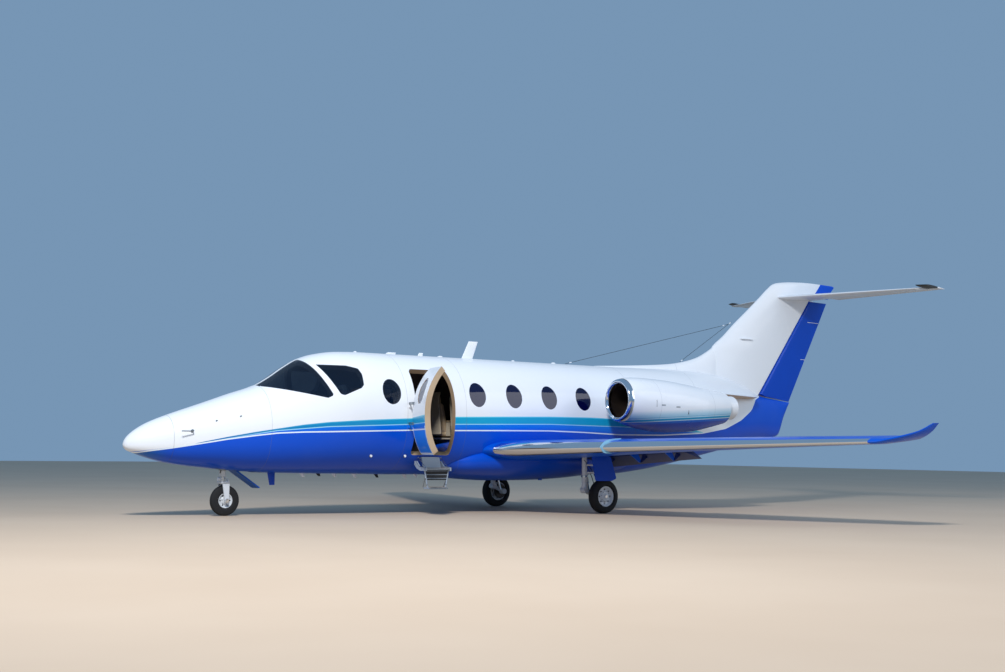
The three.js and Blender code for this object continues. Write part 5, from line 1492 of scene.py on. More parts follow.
    def tail_ring(self, y: float, side: int, rear: float, count: int = 18) -> np.ndarray:
        """A closed section of the tailplane from its leading edge to a fraction of the chord."""
        f = chord_steps(0, rear, count)
        return np.concatenate([self.tail_point(y, side, f, 1), self.tail_point(y, side, f[:0:-1], -1)])

    def build_tailplane(self) -> None:
        """The fixed tailplane, cut back for the elevators and their horns."""
        piece = Piece("tailplane_skin")
        edge = self.elevator[0] - self.gap
        ys = np.linspace(-edge, edge, 9)
        piece.loft(np.array([self.tail_ring(abs(y), 1 if y >= 0 else -1, 1) for y in ys]))
        for _, side in SIDES:
            ys = np.linspace(edge, self.horn_inner - self.gap, 20)
            piece.loft(np.array([self.tail_ring(y, side, self.box) for y in ys]))
        piece.finish("airframe", "white_paint", pick(self.looks, "white"), ["tailplane"])

    def build_elevator(self, name: str, side: int) -> None:
        """One elevator, lowered a little, with its whole-chord balance horn at the tip, black in front."""
        piece = Piece("elevator_panel_" + name)
        inner, outer = self.elevator
        start, end = (self.tail_point(y, side, self.hinge, 0) for y in (inner, outer))

        def lower(points: np.ndarray) -> np.ndarray:
            """Turn points of the level elevator down to its droop."""
            return turned_line(points, start, end, -self.droop * side)

        rings = []
        for y in np.linspace(inner, outer, 20):
            middle = self.tail_point(y, side, self.hinge, 0)
            radius = self.tail_point(y, side, self.hinge, 1)[2] - middle[2] - .0015
            turn = np.linspace(0, np.pi, 11)
            nose = middle + np.stack([radius * np.sin(turn), 0 * turn, radius * np.cos(turn)], -1)
            f = np.linspace(1, self.hinge + .015, 6)
            points = [self.tail_point(y, side, f, 1), nose, self.tail_point(y, side, f[::-1], -1)]
            rings.append(lower(np.concatenate(points)))
        piece.loft(np.array(rings))
        levels = np.linspace(self.horn_inner, outer, 6)
        piece.loft(np.array([lower(self.tail_ring(y, side, .62)) for y in levels]), 1)
        f = np.linspace(.62, self.hinge + .03, 8)
        rings = [
            np.concatenate([self.tail_point(y, side, f, 1), self.tail_point(y, side, f[::-1], -1)])
            for y in levels
        ]
        piece.loft(np.array([lower(points) for points in rings]))
        a, b = (self.tail_point(y, side, self.hinge, 0) for y in (inner + .03, inner - self.gap + .001))
        piece.rod(Vector(a), Vector(b), .0078, 12)
        looks = pick(self.looks, "white", "black")
        piece.finish("elevator_" + name, "white_paint", looks, ["elevator_" + name])


# Engines


@dataclass
class Engine:
    """One engine: nacelle, polished lip, core and fan, about an axis along the aircraft."""

    name: str
    side: int
    y: float = 1.330
    z: float = 1.800
    duct: float = .262
    nozzle: float = .200
    nozzle_z: float = 1.745
    core: tuple[float, float] = (8.400, 9.300)
    nozzle_end: float = 10.330
    lean: float = math.tan(math.radians(4))
    fan_station: float = 8.180
    fan_radius: float = .250
    blades: int = 18
    looks: Looks = field(default_factory=dict)

    def build(self) -> None:
        """Build the engine."""
        self.origin = spot(0, self.y * self.side, self.z)
        self.aft = Vector((-1, 0, 0))
        self.build_nacelle()
        self.build_lip()
        self.build_core()
        self.build_fan()

    def build_nacelle(self) -> None:
        """The nacelle: ellipses along the outside, then round the nozzle and back along the duct.

        The front rings lean by a slope times their distance outboard, which fades out aft.
        """
        t = np.linspace(0, 2 * np.pi, 72, endpoint=False)
        outside = np.linspace(7.830, 10.100, 60)
        rings = []
        for s in outside:
            half, top, low = (float(along(NACELLE_ROWS, column, s)) for column in (1, 2, 3))
            across = half * np.cos(t)
            shift = self.lean * self.side * across * np.clip((8.700 - s) / .870, 0, 1)
            rise = (top + low) / 2 + (top - low) / 2 * np.sin(t)
            rings.append(place(s - shift, self.y * self.side + across, rise))
        inside = [
            (self.nozzle, 10.080, self.nozzle_z), (self.nozzle, self.nozzle_end, self.nozzle_z),
            (self.nozzle - .014, self.nozzle_end, self.nozzle_z), (self.nozzle - .014, 10.0, self.nozzle_z),
            (self.nozzle - .014, self.core[1], self.nozzle_z), (self.duct, self.core[1], self.z),
            (self.duct, 8.9, self.z), (self.duct, 8.6, self.z), (self.duct, 8.1, self.z),
        ]
        for radius, s, z in inside:
            rings.append(place(s, self.y * self.side + radius * np.cos(t), z + radius * np.sin(t)))
        shift = self.lean * self.side * self.duct * np.cos(t)
        across, rise = self.duct * np.cos(t), self.duct * np.sin(t)
        rings.append(place(7.830 - shift, self.y * self.side + across, self.z + rise))
        nacelle = Piece("nacelle_cowl_" + self.name)
        nacelle.loft(np.array(rings[:60]), 0, caps=False)
        # The step from the cowl's rear edge in to the nozzle is painted shadow black.
        nacelle.loft(np.array([rings[59], rings[60]]), 3, caps=False)
        nacelle.loft(np.array(rings[60:63]), 4, caps=False)
        nacelle.loft(np.array(rings[62:64]), 1, caps=False)
        nacelle.loft(np.array([*rings[63:], rings[0]]), 1, caps=False)
        for s, z in ((8.400, 1.735), (8.720, 1.712)):
            self.latch(nacelle, s, z, (.045, .010), 2)
        # Thin dark seam plates, in the same black.
        for s, z in ((8.255, 1.760), (8.965, 1.655)):
            self.latch(nacelle, s, z, (.003, .055), 3)
        looks = pick(self.looks, "nacelle", "duct", "steel", "shadow_and_seams", "white")
        nacelle.finish("airframe", "white_paint", looks, ["nacelle_" + self.name])

    def latch(
        self, nacelle: Piece, station: float, z: float, half_size: tuple[float, float], finish: int
    ) -> None:
        """A flat latch or seam plate on the outer side, at the ellipse's own distance out."""
        half, top, low = (float(along(NACELLE_ROWS, column, station)) for column in (1, 2, 3))
        share = (z - (top + low) / 2) / ((top - low) / 2)
        y = self.y + half * math.sqrt(max(1 - share**2, 0))
        ys = sorted([(y - .009) * self.side, (y + .0015) * self.side])
        x = NOSE_X - station
        wide, tall = half_size
        nacelle.block([x - wide, ys[0], z - tall], [x + wide, ys[1], z + tall], finish, .001)

    def build_lip(self) -> None:
        """The polished lip: a rounded ring ahead of the nacelle."""
        t = np.linspace(0, np.pi, 25)
        middle, half = .306, .044
        front = [(middle + half * math.cos(a), 7.830 - .0885 * math.sin(a) ** .75) for a in t]
        profile = [(.350, 7.8297), *[(r, min(s, 7.823)) for r, s in front[1:-1]], (self.duct, 7.8297)]
        lip = Piece("inlet_lip_ring_" + self.name)
        lip.turned(profile, self.origin, self.aft, 80, closed=True)
        for points in lip.points:
            points[:, 0] += self.lean * self.side * (points[:, 1] - self.y * self.side)
        looks = pick(self.looks, "lip")
        lip.finish("airframe", "polished_metal", looks, ["inlet_lip_" + self.name], sharp=50)

    def build_core(self) -> None:
        """The core with its tail cone, shaft and a ring of guide vanes."""
        front, rear = self.core
        profile = [
            (.001, front), (.14, front), (self.duct - .0003, front + .06), (self.duct - .0003, rear - .0003),
            (.001, rear - .0003),
        ]
        core = Piece("engine_core_body_" + self.name)
        core.turned(profile, self.origin, self.aft, 64)
        cone = [
            (.001, rear - .02), (.130, rear - .02), (.110, 9.700), (.085, 9.95), (.045, 10.12), (.02, 10.200),
            (.001, 10.200),
        ]
        core.turned(cone, spot(0, self.y * self.side, self.nozzle_z), self.aft, 48)
        core.turned([(.001, 8.2503), (.06, 8.2503), (.06, 8.45), (.001, 8.45)], self.origin, self.aft, 24)
        base = Piece("vanes")
        for k in range(24):
            angle = 2 * math.pi * k / 24
            f = np.linspace(0, 1, 6)
            along_axis = front - .045 + .05 * f
            bow = .012 * np.sin(np.pi * f)
            rings = []
            for radius in (.130, .261):
                port = np.stack([along_axis, np.full(6, radius), bow + .002], -1)
                starboard = np.stack([along_axis[::-1], np.full(6, radius), bow[::-1] - .002], -1)
                ring = np.concatenate([port, starboard])
                ring = np.stack([
                    NOSE_X - ring[:, 0],
                    self.y * self.side + ring[:, 1] * math.cos(angle) - ring[:, 2] * math.sin(angle),
                    self.z + ring[:, 1] * math.sin(angle) + ring[:, 2] * math.cos(angle),
                ], -1)
                rings.append(ring)
            base.loft(np.array(rings))
        for points in base.points:
            core.points.append(points)
        core.faces += [[corner + core.count for corner in face] for face in base.faces]
        core.finishes += base.finishes
        core.count += base.count
        core.finish("airframe", "engine_metal", pick(self.looks, "core"), ["engine_core_" + self.name])

    def build_fan(self) -> None:
        """The fan: a pointed spinner and twisted blades whose pitch grows with the radius."""
        fan = Piece("fan_rotor_" + self.name)
        centre = self.fan_station - .020
        d = np.linspace(0, 1, 12)
        spinner = [(.0005, centre - .080)] + [(.092 * math.sqrt(v), centre - .080 + .085 * v) for v in d[1:]]
        fan.turned([*spinner, (.092, centre + .090), (.0005, centre + .090)], self.origin, self.aft, 40, 1)
        for k in range(self.blades):
            turn = 2 * math.pi * k / self.blades
            rings = []
            for share in np.linspace(0, 1, 8):
                radius = .075 + (self.fan_radius - .075) * share
                pitch = math.radians(35 + 27 * share)
                half = .038 + .006 * share
                u = np.linspace(-1, 1, 9)
                bow = .006 * (1 - u**2)
                thick = .0035 * np.sqrt(1 - u**2 * .96)
                chord_line = np.concatenate([u, u[::-1]]) * half
                off = np.concatenate([bow + thick, (bow - thick)[::-1]])
                s = centre + .040 + chord_line * math.cos(pitch) + off * math.sin(pitch)
                around = (chord_line * math.sin(pitch) - off * math.cos(pitch)) / radius + turn
                y, z = self.y * self.side + radius * np.cos(around), self.z + radius * np.sin(around)
                rings.append(place(s, y, z))
            fan.loft(np.array(rings))
        looks = pick(self.looks, "fan", "spinner")
        fan.finish("fan_" + self.name, "engine_metal", looks, ["fan_" + self.name])


# Landing gear


@dataclass(frozen=True)
class WheelSizes:
    """A wheel's place and sizes."""

    station: float
    y: float
    hub: float
    tyre: float
    rim: float
    width: float
    axle: float
    holes: int


MAIN_WHEEL = WheelSizes(7.390, 1.420, .268, .268, .160, .178, .028, 8)
NOSE_WHEEL = WheelSizes(1.530, 0, .217, .217, .108, .106, .016, 6)


@dataclass
class Gear:
    """The nose gear and both main gears."""

    looks: Looks = field(default_factory=dict)

    def build(self) -> None:
        """Build all three legs and their wheels."""
        self.build_nose_leg()
        self.build_wheel("nose", NOSE_WHEEL, 0, "nose_wheel")
        for name, side in SIDES:
            self.build_main_leg(name, side)
            self.build_wheel("main", MAIN_WHEEL, side, "main_wheel_" + name)

    def build_wheel(self, kind: str, sizes: WheelSizes, side: int, body: str) -> None:
        """A wheel with dished flanges, their holes closed by discs of painted shadow, and its tyre with a
        grooved tread.
        """
        suffix = {1: "_left", -1: "_right", 0: ""}[side]
        centre = spot(sizes.station, sizes.y * side, sizes.hub)
        axis = Vector((0, side or 1, 0))
        half, crown, rim = sizes.width / 2, sizes.tyre - sizes.rim, sizes.rim
        t = np.linspace(-1, 1, 41)
        shoulder = np.sign(t) * np.abs(t) ** .8
        bulge = rim + crown * (1 - np.abs(t) ** 4.2)
        groove = .0035 * (np.abs(np.abs(t) - .22) < .04) + .0035 * (np.abs(t) < .03)
        profile = [(rim + .0004, -half * .72)] + [
            (max(r - g, rim + .001), half * s) for r, s, g in zip(bulge[1:-1], shoulder[1:-1], groove[1:-1])
        ] + [(rim + .0004, half * .72)]
        tyre = Piece(kind + "_tyre_tread" + suffix)
        tyre.turned(profile, centre, axis, 72, closed=True)
        tyre.finish(body, "tyre_rubber", pick(self.looks, "rubber"), [kind + "_tyre" + suffix], sharp=40)
        wheel = Piece(kind + "_wheel_rim" + suffix)
        w, edge, axle = sizes.width * .36, rim - .0003, sizes.axle + .0003
        flange = [
            (axle, -w * .9), (rim * .40, -w * .9), (rim * .45, -w * .84), (rim * .60, -w * .4),
            (rim * .80, -w * .55), (rim * .92, -w), (edge - .002, -w), (edge, -w + .002),
            (edge, w - .002), (edge - .002, w), (rim * .92, w), (rim * .80, w * .55),
            (rim * .60, w * .4), (rim * .45, w * .84), (rim * .40, w * .9), (axle, w * .9),
        ]
        wheel.turned(flange, centre, axis, 64, closed=True)
        for k in range(sizes.holes):
            angle = 2 * math.pi * k / sizes.holes
            way = Vector((math.cos(angle), 0, math.sin(angle)))
            for face in (-1, 1):
                foot = centre + way * rim * .70 + axis * face * w * .44
                wheel.turned(
                    [(rim * .085, 0), (rim * .085, .006), (rim * .055, .006), (rim * .055, 0)],
                    foot, axis * face, 14, 1, closed=True,
                )
                # Each hole is closed by a dark disc of painted shadow.
                plug = [(.0005, 0), (rim * .056, 0), (rim * .056, .002), (.0005, .002)]
                wheel.turned(plug, foot, axis * face, 14, 1)
                beside = Vector((math.cos(angle + .2), 0, math.sin(angle + .2)))
                bolt = centre + beside * rim * .50 + axis * face * w * .70
                wheel.turned([(.0005, 0), (.006, 0), (.006, .012), (.0005, .012)], bolt, axis * face, 6, 2)
        looks = pick(self.looks, "gear", "shadow_and_seams", "steel")
        wheel.finish(body, "white_paint", looks, [kind + "_wheel" + suffix])

    def build_nose_leg(self) -> None:
        """The nose leg, its fork, torque links, lamp and the door behind it."""
        leg = Piece("nose_leg")
        s, top = 1.488, 1.0097
        leg.rod(spot(s, 0, .560), spot(s, 0, top), .046, 32)
        leg.rod(spot(s, 0, .700), spot(1.880, 0, .985), .020, 20)
        leg.rod(spot(1.880, -.060, .985), spot(1.880, .060, .985), .024, 20)
        leg.rod(spot(s, -.1247, .930), spot(s, .1247, .930), .026, 24)
        collar = [(.046, 0), (.056, .004), (.056, .024), (.046, .028)]
        leg.turned(collar, spot(s, 0, .640), Vector((0, 0, 1)), 32, 1, closed=True)
        leg.pipe(hose((s - .05, .030, .90), (s - .055, .035, .60), .035), .006, finish=2)
        leg.finish("airframe", "white_paint", pick(self.looks, "gear", "steel", "rubber"), ["nose_gear_leg"])
        fork = Piece("nose_fork")
        blade = NOSE_WHEEL.width / 2 + .022
        fork.rod(spot(s, 0, .5597), spot(s, 0, .462), .032, 32, 1)
        fork.block([NOSE_X - 1.570, -blade - .009, .452], [NOSE_X - s + .045, blade + .009, .486], 0, .008)
        for sign in (-1, 1):
            outline = [
                (s - .030, .470), (1.564, .470), (1.560, .197), (1.550, .190), (1.510, .190), (1.500, .197),
            ]
            fork.plate([spot(a, sign * blade - .009, z) for a, z in outline], Vector((0, .018, 0)))
            inner, outer = sign * (blade + .009), sign * (blade + .022)
            fork.rod(spot(1.530, inner, .217), spot(1.530, outer, .217), .030, 24, 1)
        fork.rod(spot(1.530, -blade - .026, .217), spot(1.530, blade + .026, .217), .016, 24, 1)
        fork.rod(spot(s + .040, 0, .540), spot(s + .105, 0, .500), .011, 12)
        fork.rod(spot(s + .020, 0, .468), spot(s + .105, 0, .500), .011, 12)
        fork.rod(spot(s - .020, 0, .520), spot(s - .066, 0, .520), .030, 32)
        lens = [(.0005, .001), (.027, .001), (.027, .004), (.0005, .008)]
        fork.turned(lens, spot(s - .066, 0, .520), Vector((1, 0, 0)), 32, 2)
        fork.rod(spot(s, 0, .540), spot(s + .044, 0, .540), .011, 12)
        looks = pick(self.looks, "gear", "chrome", "lamp")
        fork.finish("nose_steering", "white_paint", looks, ["nose_gear_fork"])
        door = Piece("nose_gear_door_panel")
        door.rod(spot(1.640, -.1247, .648), spot(1.640, .1247, .648), .010, 16, 1)
        rows = [(1.630, .640), (1.652, .655), (2.030, .402), (2.012, .390)]
        door.plate([spot(a, -.112, z) for a, z in rows], Vector((0, .224, 0)))
        door.rod(spot(1.72, .05, .62), spot(1.52, .04, .90), .008, 10, 1)
        door.finish("airframe", "blue_paint", pick(self.looks, "bay_door", "steel"), ["nose_gear_door"])

    def build_main_leg(self, name: str, side: int) -> None:
        """One main leg with its trailing arm, shock strut, brake, hoses and door."""
        leg = Piece("main_leg_" + name)

        def at(s: float, y: float, z: float) -> Vector:
            """One point on this leg's side."""
            return spot(s, y * side, z)

        leg.rod(at(7.170, 1.215, .900), at(7.170, 1.215, .360), .042, 28)
        leg.rod(at(7.170, 1.160, .360), at(7.170, 1.270, .360), .048, 28)
        leg.rod(at(7.170, 1.215, .360), at(7.390, 1.215, .268), .034, 24)
        leg.rod(at(7.390, 1.175, .268), at(7.390, 1.275, .268), .046, 28)
        leg.rod(at(7.390, 1.215, .268), at(7.390, 1.500, .268), .028, 24, 1)
        leg.rod(at(7.300, 1.185, .300), at(7.2577, 1.190, .470), .018, 20, 1)
        leg.rod(at(7.2577, 1.190, .470), at(7.215, 1.195, .640), .025, 20)
        leg.rod(at(7.300, 1.185, .300), at(7.300, 1.235, .305), .022, 16)
        leg.rod(at(7.215, 1.180, .640), at(7.170, 1.215, .660), .022, 16)
        leg.rod(at(7.390, 1.292, .268), at(7.390, 1.322, .268), .118, 48, 2)
        for z in (.640, .760):
            leg.rod(at(7.192, 1.215, z), at(7.192, 1.5347, z), .015, 14)
        collar = [(.042, 0), (.052, .004), (.052, .030), (.042, .034)]
        leg.turned(collar, at(7.170, 1.215, .560), Vector((0, 0, 1)), 28, 1, closed=True)
        leg.pipe(hose((7.150, 1.17 * side, .86), (7.345, 1.28 * side, .34), .05), .006, finish=3)
        leg.pipe(hose((7.130, 1.25 * side, .84), (7.365, 1.30 * side, .38), .07), .005, finish=3)
        looks = pick(self.looks, "gear", "chrome", "brake", "rubber")
        leg.finish("airframe", "white_paint", looks, ["main_gear_leg_" + name])
        door = Piece("main_leg_door_" + name)
        corners = [(7.040, .900), (7.125, .514), (7.457, .513), (7.551, .552), (7.420, .900)]
        outline = rounded_outline(corners, .03)
        near = 1.535 if side > 0 else -1.553
        door.plate([spot(s, near, z) for s, z in outline], Vector((0, .018, 0)))
        door.finish("airframe", "blue_paint", pick(self.looks, "rudder"), ["leg_door_" + name])


def hose(start: tuple[float, float, float], end: tuple[float, float, float], sag: float) -> np.ndarray:
    """A short pipe between two fittings, bowed aft by a half wave."""
    t = np.linspace(0, 1, 18)
    (s0, y0, z0), (s1, y1, z1) = start, end
    return place(s0 + (s1 - s0) * t + sag * np.sin(np.pi * t), y0 + (y1 - y0) * t, z0 + (z1 - z0) * t)


def rounded_outline(corners: Sequence[tuple[float, float]], radius: float, steps: int = 5) -> np.ndarray:
    """An outline with its corners cut by quadratic curves that start a radius before each corner."""
    points = []
    ring = [np.array(corner, float) for corner in corners]
    for before, corner, after in zip([ring[-1], *ring[:-1]], ring, [*ring[1:], ring[0]]):
        a = corner + (before - corner) * min(radius / np.linalg.norm(before - corner), .5)
        b = corner + (after - corner) * min(radius / np.linalg.norm(after - corner), .5)
        for t in np.linspace(0, 1, steps):
            points.append((1 - t) ** 2 * a + 2 * t * (1 - t) * corner + t**2 * b)
    return np.array(points)


# Seats and entry steps

PILOT_SEAT = (3.150, .330)
PILOT_WIDTH = .430
COCKPIT_FLOOR = .8703
CABIN_SEATS = ((5.650, -1), (6.700, 1), (7.650, 1))
SEAT_Y = .375
SEAT_WIDTH = .460
RAIL_TOP = .8843
STEP_SIDE = (
    (.640, .799), (.690, .800), (.775, .722), (.950, .706), (.950, .655), (.800, .655), (.705, .688),
    (.640, .745),
)


@dataclass
class Cushion:
    """A stuffed leather cushion: a crowned closed form between two piped edges.

    With u and v round it and across it, a point of the plain form lies at
    (a cu, b su) cos(v)^k across and c sin(v)^m through, where cu = cos(u)^k and su = sin(u)^k keep
    their signs. The sides pull in between the corners by pull (1 - (y/b)^2) across and the same
    ahead, the face swells by crown (1 - (x/a)^2)(1 - (y/b)^2), and each sewn channel sinks the face
    by a bell curve about its line.
    """

    half: tuple[float, float, float]
    pull: float = .035
    crown: float = .22
    channels: tuple[float, ...] = (-.36, .36)
    depth: float = .008

    def ring(self, v: float, u: np.ndarray) -> np.ndarray:
        """One closed ring of the cushion, in its own axes: across, ahead and through."""
        a, b, c = self.half
        reach = abs(math.cos(v)) ** .22
        x = power(np.cos(u), .30) * reach
        y = power(np.sin(u), .30) * reach
        through = float(power(np.array(math.sin(v)), .62))
        swell = 1 - self.crown + self.crown * (1 - x**2) * (1 - y**2)
        z = c * through * swell
        sink = sum(np.exp(-(((y - at) / .045) ** 2)) for at in self.channels)
        z = z - np.sign(through) * abs(through) * self.depth * sink
        return np.stack([
            a * x * (1 - self.pull * (1 - y**2)), b * y * (1 - self.pull * (1 - x**2)), z,
        ], -1)

    def points(self, rows: int = 19, columns: int = 72) -> np.ndarray:
        """All rings of the cushion, from one face to the other."""
        u = np.linspace(0, 2 * np.pi, columns, endpoint=False)
        return np.array([self.ring(v, u) for v in np.linspace(-1.55, 1.55, rows)])

    def piping(self, share: float, columns: int = 72) -> np.ndarray:
        """The closed line of the piping at a share of the half thickness, just inside the widest ring."""
        u = np.linspace(0, 2 * np.pi, columns + 1)
        ring = self.ring(math.asin(abs(share) ** (1 / .62)) * np.sign(share), u)
        return ring * np.array([.992, .992, 1])


@dataclass
class Seat:
    """A seat at a station: which way it faces, its floor, its width and the body it rides on."""

    name: str
    station: float
    y: float
    facing: int
    foot: float
    width: float

    def at(self, ahead: float, across: float, height: float) -> np.ndarray:
        """A point of the seat in the frame."""
        return np.array([NOSE_X - self.station + ahead * self.facing, self.y + across, self.foot + height])

    def cushion(
        self,
        part: str,
        shape: Cushion,
        middle: tuple[float, float, float],
        lean: float,
        leather: bpy.types.Material,
    ) -> None:
        """Sew one cushion: its form turned to a lean, with piping along both edges.

        Args:
            part: What it is called on this seat.
            shape: Its form.
            middle: Its middle ahead, across and above the seat's foot.
            lean: Degrees that its face is raised from lying flat.
            leather: Its material.
        """
        slope = math.radians(lean)
        ahead = np.array([math.cos(slope) * self.facing, 0, -math.sin(slope)])
        through = np.array([math.sin(slope) * self.facing, 0, math.cos(slope)])
        turn = np.array([[0, 1, 0], ahead, through])
        piece = Piece(f"{self.name}_{part}")
        piece.loft(self.at(*middle) + shape.points() @ turn)
        for share in (-.72, .72):
            piece.pipe(self.at(*middle) + shape.piping(share) @ turn, .0032, 6)
        piece.finish("airframe", "seat_leather", [leather], sharp=60)

    def build_cushions(self, leather: bpy.types.Material) -> None:
        """The seat, back and head cushions and both arm pads."""
        half = self.width / 2
        seat = Cushion((half - .012, .232, .056), channels=(-.4, .1, .6))
        back = Cushion((half - .026, .262, .048), channels=(-.55, -.1, .35))
        head = Cushion((half - .075, .084, .036), channels=())
        arm = Cushion((.024, .180, .018), crown=.3, channels=())
        self.cushion("cushion", seat, (.006, 0, .334), 3.5, leather)
        lean = math.degrees(math.atan2(.670, .150))
        self.cushion("back", back, (-.231, 0, .585), lean, leather)
        self.cushion("headrest", head, (-.302, 0, .905), lean, leather)
        for side, across in (("port", half - .002), ("starboard", -half + .002)):
            self.cushion(f"{side}_arm", arm, (-.035, across, .540), 0, leather)

    def build_frame(self, piece: Piece) -> None:
        """Pedestal, seat pan, back shell and arm posts of the seat.

        Finishes: 0 shell, 1 steel.
        """
        half = self.width / 2

        def plate(outline: Sequence[tuple[float, float]], low: float, wide: float, finish: int) -> None:
            """A plate across the seat, from an outline of distances ahead and heights."""
            piece.plate([self.at(a, low, h) for a, h in outline], np.array([0, wide, 0]), finish)

        plate([(-.238, .254), (-.238, .276), (.235, .276), (.236, .256)], -half + .004, self.width - .008, 0)
        back = [(-.328, .334), (-.376, .896), (-.332, 1.004), (-.318, 1.004), (-.352, .893), (-.300, .340)]
        plate(back, -half + .017, self.width - .034, 0)
        plate([(-.150, .205), (-.150, .252), (.150, .252), (.150, .205)], -half + .070, self.width - .140, 1)
        leg = [
            (-.175, .004), (-.120, .204), (-.085, .204), (-.130, .030),
            (.130, .030), (.085, .204), (.120, .204), (.175, .004),
        ]
        for low in (-half + .064, half - .094):
            plate(leg, low, .030, 1)
        arm = [
            (-.222, .306), (-.222, .521), (.140, .521), (.168, .500), (.168, .470), (-.150, .470),
            (-.150, .306),
        ]
        for low in (-half - .020, half + .002):
            plate(arm, low, .018, 0)
        for height in (.10, .17):
            piece.rod(self.at(-.10, -half + .066, height), self.at(-.10, half - .066, height), .008, 10, 1)

    def belt(self, piece: Piece) -> None:
        """Both lap straps lying over the seat cushion, with a buckle."""
        for side in (-1, 1):
            across = np.linspace(self.width / 2 - .03, .035, 14) * side
            ahead = np.linspace(-.165, .045, 14)
            rise = .388 + .006 * np.sin(np.linspace(0, np.pi, 14))
            corners = ((-.020, 0), (.020, 0), (.020, .0022), (-.020, .0022))
            rings = [
                [self.at(a + wide, c, h + up) for wide, up in corners]
                for a, c, h in zip(ahead, across, rise)
            ]
            piece.loft(np.array(rings), 2)
        low, high = self.at(.020, -.036, .386), self.at(.070, .036, .398)
        piece.block(np.minimum(low, high), np.maximum(low, high), 1, .003)


@dataclass
class Cabin:
    """What stands in the cabin: the seats of both sides, and the entry steps at the doorway."""

    looks: Looks

    def build(self) -> None:
        """Build the seats and the steps."""
        for name, side in SIDES:
            station, y = PILOT_SEAT
            pilot = Seat(f"pilot_seat_{name}", station, y * side, 1, COCKPIT_FLOOR, PILOT_WIDTH)
            self.build_row(f"cockpit_seat_{name}", [pilot])
            rows = [
                Seat(f"seat_{i + 1}_{name}", station, SEAT_Y * side, facing, RAIL_TOP, SEAT_WIDTH)
                for i, (station, facing) in enumerate(CABIN_SEATS)
            ]
            self.build_row(f"cabin_seats_{name}", rows)
        self.build_steps()

    def build_row(self, node: str, seats: Sequence[Seat]) -> None:
        """The seats that one CAD node stands for: cushions on their own, and one piece of frames."""
        frames = Piece(f"{node}_frames")
        for seat in seats:
            seat.build_cushions(self.looks["leather"])
            seat.build_frame(frames)
            seat.belt(frames)
        if len(seats) > 1:
            y = seats[0].y
            for low in (y - .126, y + .102):
                frames.block((NOSE_X - 7.848, low, .8705), (NOSE_X - 5.452, low + .024, .8840), 1, .002)
        frames.finish("airframe", "seat_leather", pick(self.looks, "shell", "steel", "belt"), [node])

    def build_steps(self) -> None:
        """The entry steps: a sill plate, side plates, two treads, a tie panel and legs.

        Finishes: 0 grey paint, 1 tread, 2 steel, 3 dark panel, 4 chrome.
        """
        piece = Piece("entry_steps")
        for station, out in ((4.340, -.022), (4.780, -.022)):
            piece.plate([spot(station, y, z) for y, z in STEP_SIDE], Vector((-out, 0, 0)))
        for station in (4.3165, 4.7815):
            piece.pipe(place(station, *np.array(STEP_SIDE[1:5]).T), .0030, 8, 2)
        self.tread(piece, (4.340, 4.758), (.742, .949), .700)
        self.tread(piece, (4.381, 4.728), (.802, .949), .415)
        piece.block((NOSE_X - 4.720, .600, .834), (NOSE_X - 4.400, .716, .859), 0)
        piece.block((NOSE_X - 4.712, .606, .858), (NOSE_X - 4.408, .712, .862), 1, .0015)
        riser = ((.690, .860), (.716, .860), (.760, .694), (.740, .680))
        piece.plate([spot(4.720, y, z) for y, z in riser], (.320, 0, 0), 0)
        for station in (4.400, 4.720):
            piece.pipe(place(station, np.array([.704, .750]), np.array([.858, .690])), .006, 8, 2)
        piece.block((NOSE_X - 4.748, .889, .520), (NOSE_X - 4.350, .900, .672), 3, .003)
        for z in (.545, .600, .655):
            piece.block((NOSE_X - 4.742, .898, z - .004), (NOSE_X - 4.356, .901, z + .004), 0, .001)
        for head, foot in ((4.332, 4.393), (4.766, 4.716)):
            top, low = spot(head, .895, .688), spot(foot, .895, .400)
            piece.rod(top, low, .0115, 20, 0)
            piece.rod(top.lerp(low, .06), top.lerp(low, .16), .0135, 20, 2)
            piece.rod(top.lerp(low, .80), top.lerp(low, .86), .0130, 20, 2)
            for z in (.672, .408):
                share = (z - .688) / (.400 - .688)
                middle = top.lerp(low, share)
                piece.rod(middle + Vector((0, -.020, 0)), middle + Vector((0, .024, 0)), .0065, 12, 4, .001)
        for station in (4.346, 4.752):
            piece.rod(spot(station, .700, .848), spot(station, .936, .690), .0045, 12, 4)
            piece.rod(spot(station, .692, .850), spot(station, .710, .850), .009, 12, 2, .001)
        for station, inner in ((4.350, 4.366), (4.748, 4.732)):
            piece.rod(spot(station, .895, .560), spot(inner, .812, .408), .0055, 12, 2)
        for station in (4.3155, 4.7825):
            for y, z in ((.658, .780), (.682, .745), (.760, .684), (.840, .684), (.925, .684)):
                piece.rod(spot(station - .003, y, z), spot(station + .003, y, z), .0058, 10, 4, .001)
        looks = pick(self.looks, "step", "tread", "steel", "panel", "chrome")
        piece.finish("airframe", "step_grey", looks, ["airstair"])

    def tread(self, piece: Piece, stations: tuple[float, float], y: tuple[float, float], top: float) -> None:
        """A tread: a folded tray with a grit surface in strips, and a polished nosing."""
        front, rear = stations
        piece.block((NOSE_X - rear, y[0], top - .030), (NOSE_X - front, y[1], top - .004), 0, .004)
        count = 5
        pitch = (y[1] - y[0] - .020) / count
        for i in range(count):
            low = y[0] + .008 + i * pitch
            high = low + pitch - .006
            piece.block((NOSE_X - rear + .010, low, top - .005), (NOSE_X - front - .010, high, top), 1, .0015)
        low = (NOSE_X - rear + .004, y[1] - .008, top - .026)
        high = (NOSE_X - front - .004, y[1] + .0005, top - .006)
        piece.block(low, high, 2, .002)
        for station in (front + .030, rear - .030):
            inner, outer = (spot(station, y[1] + reach, top - .016) for reach in (-.004, .001))
            piece.rod(inner, outer, .005, 10, 4, .001)


# Small fittings, in stations and heights

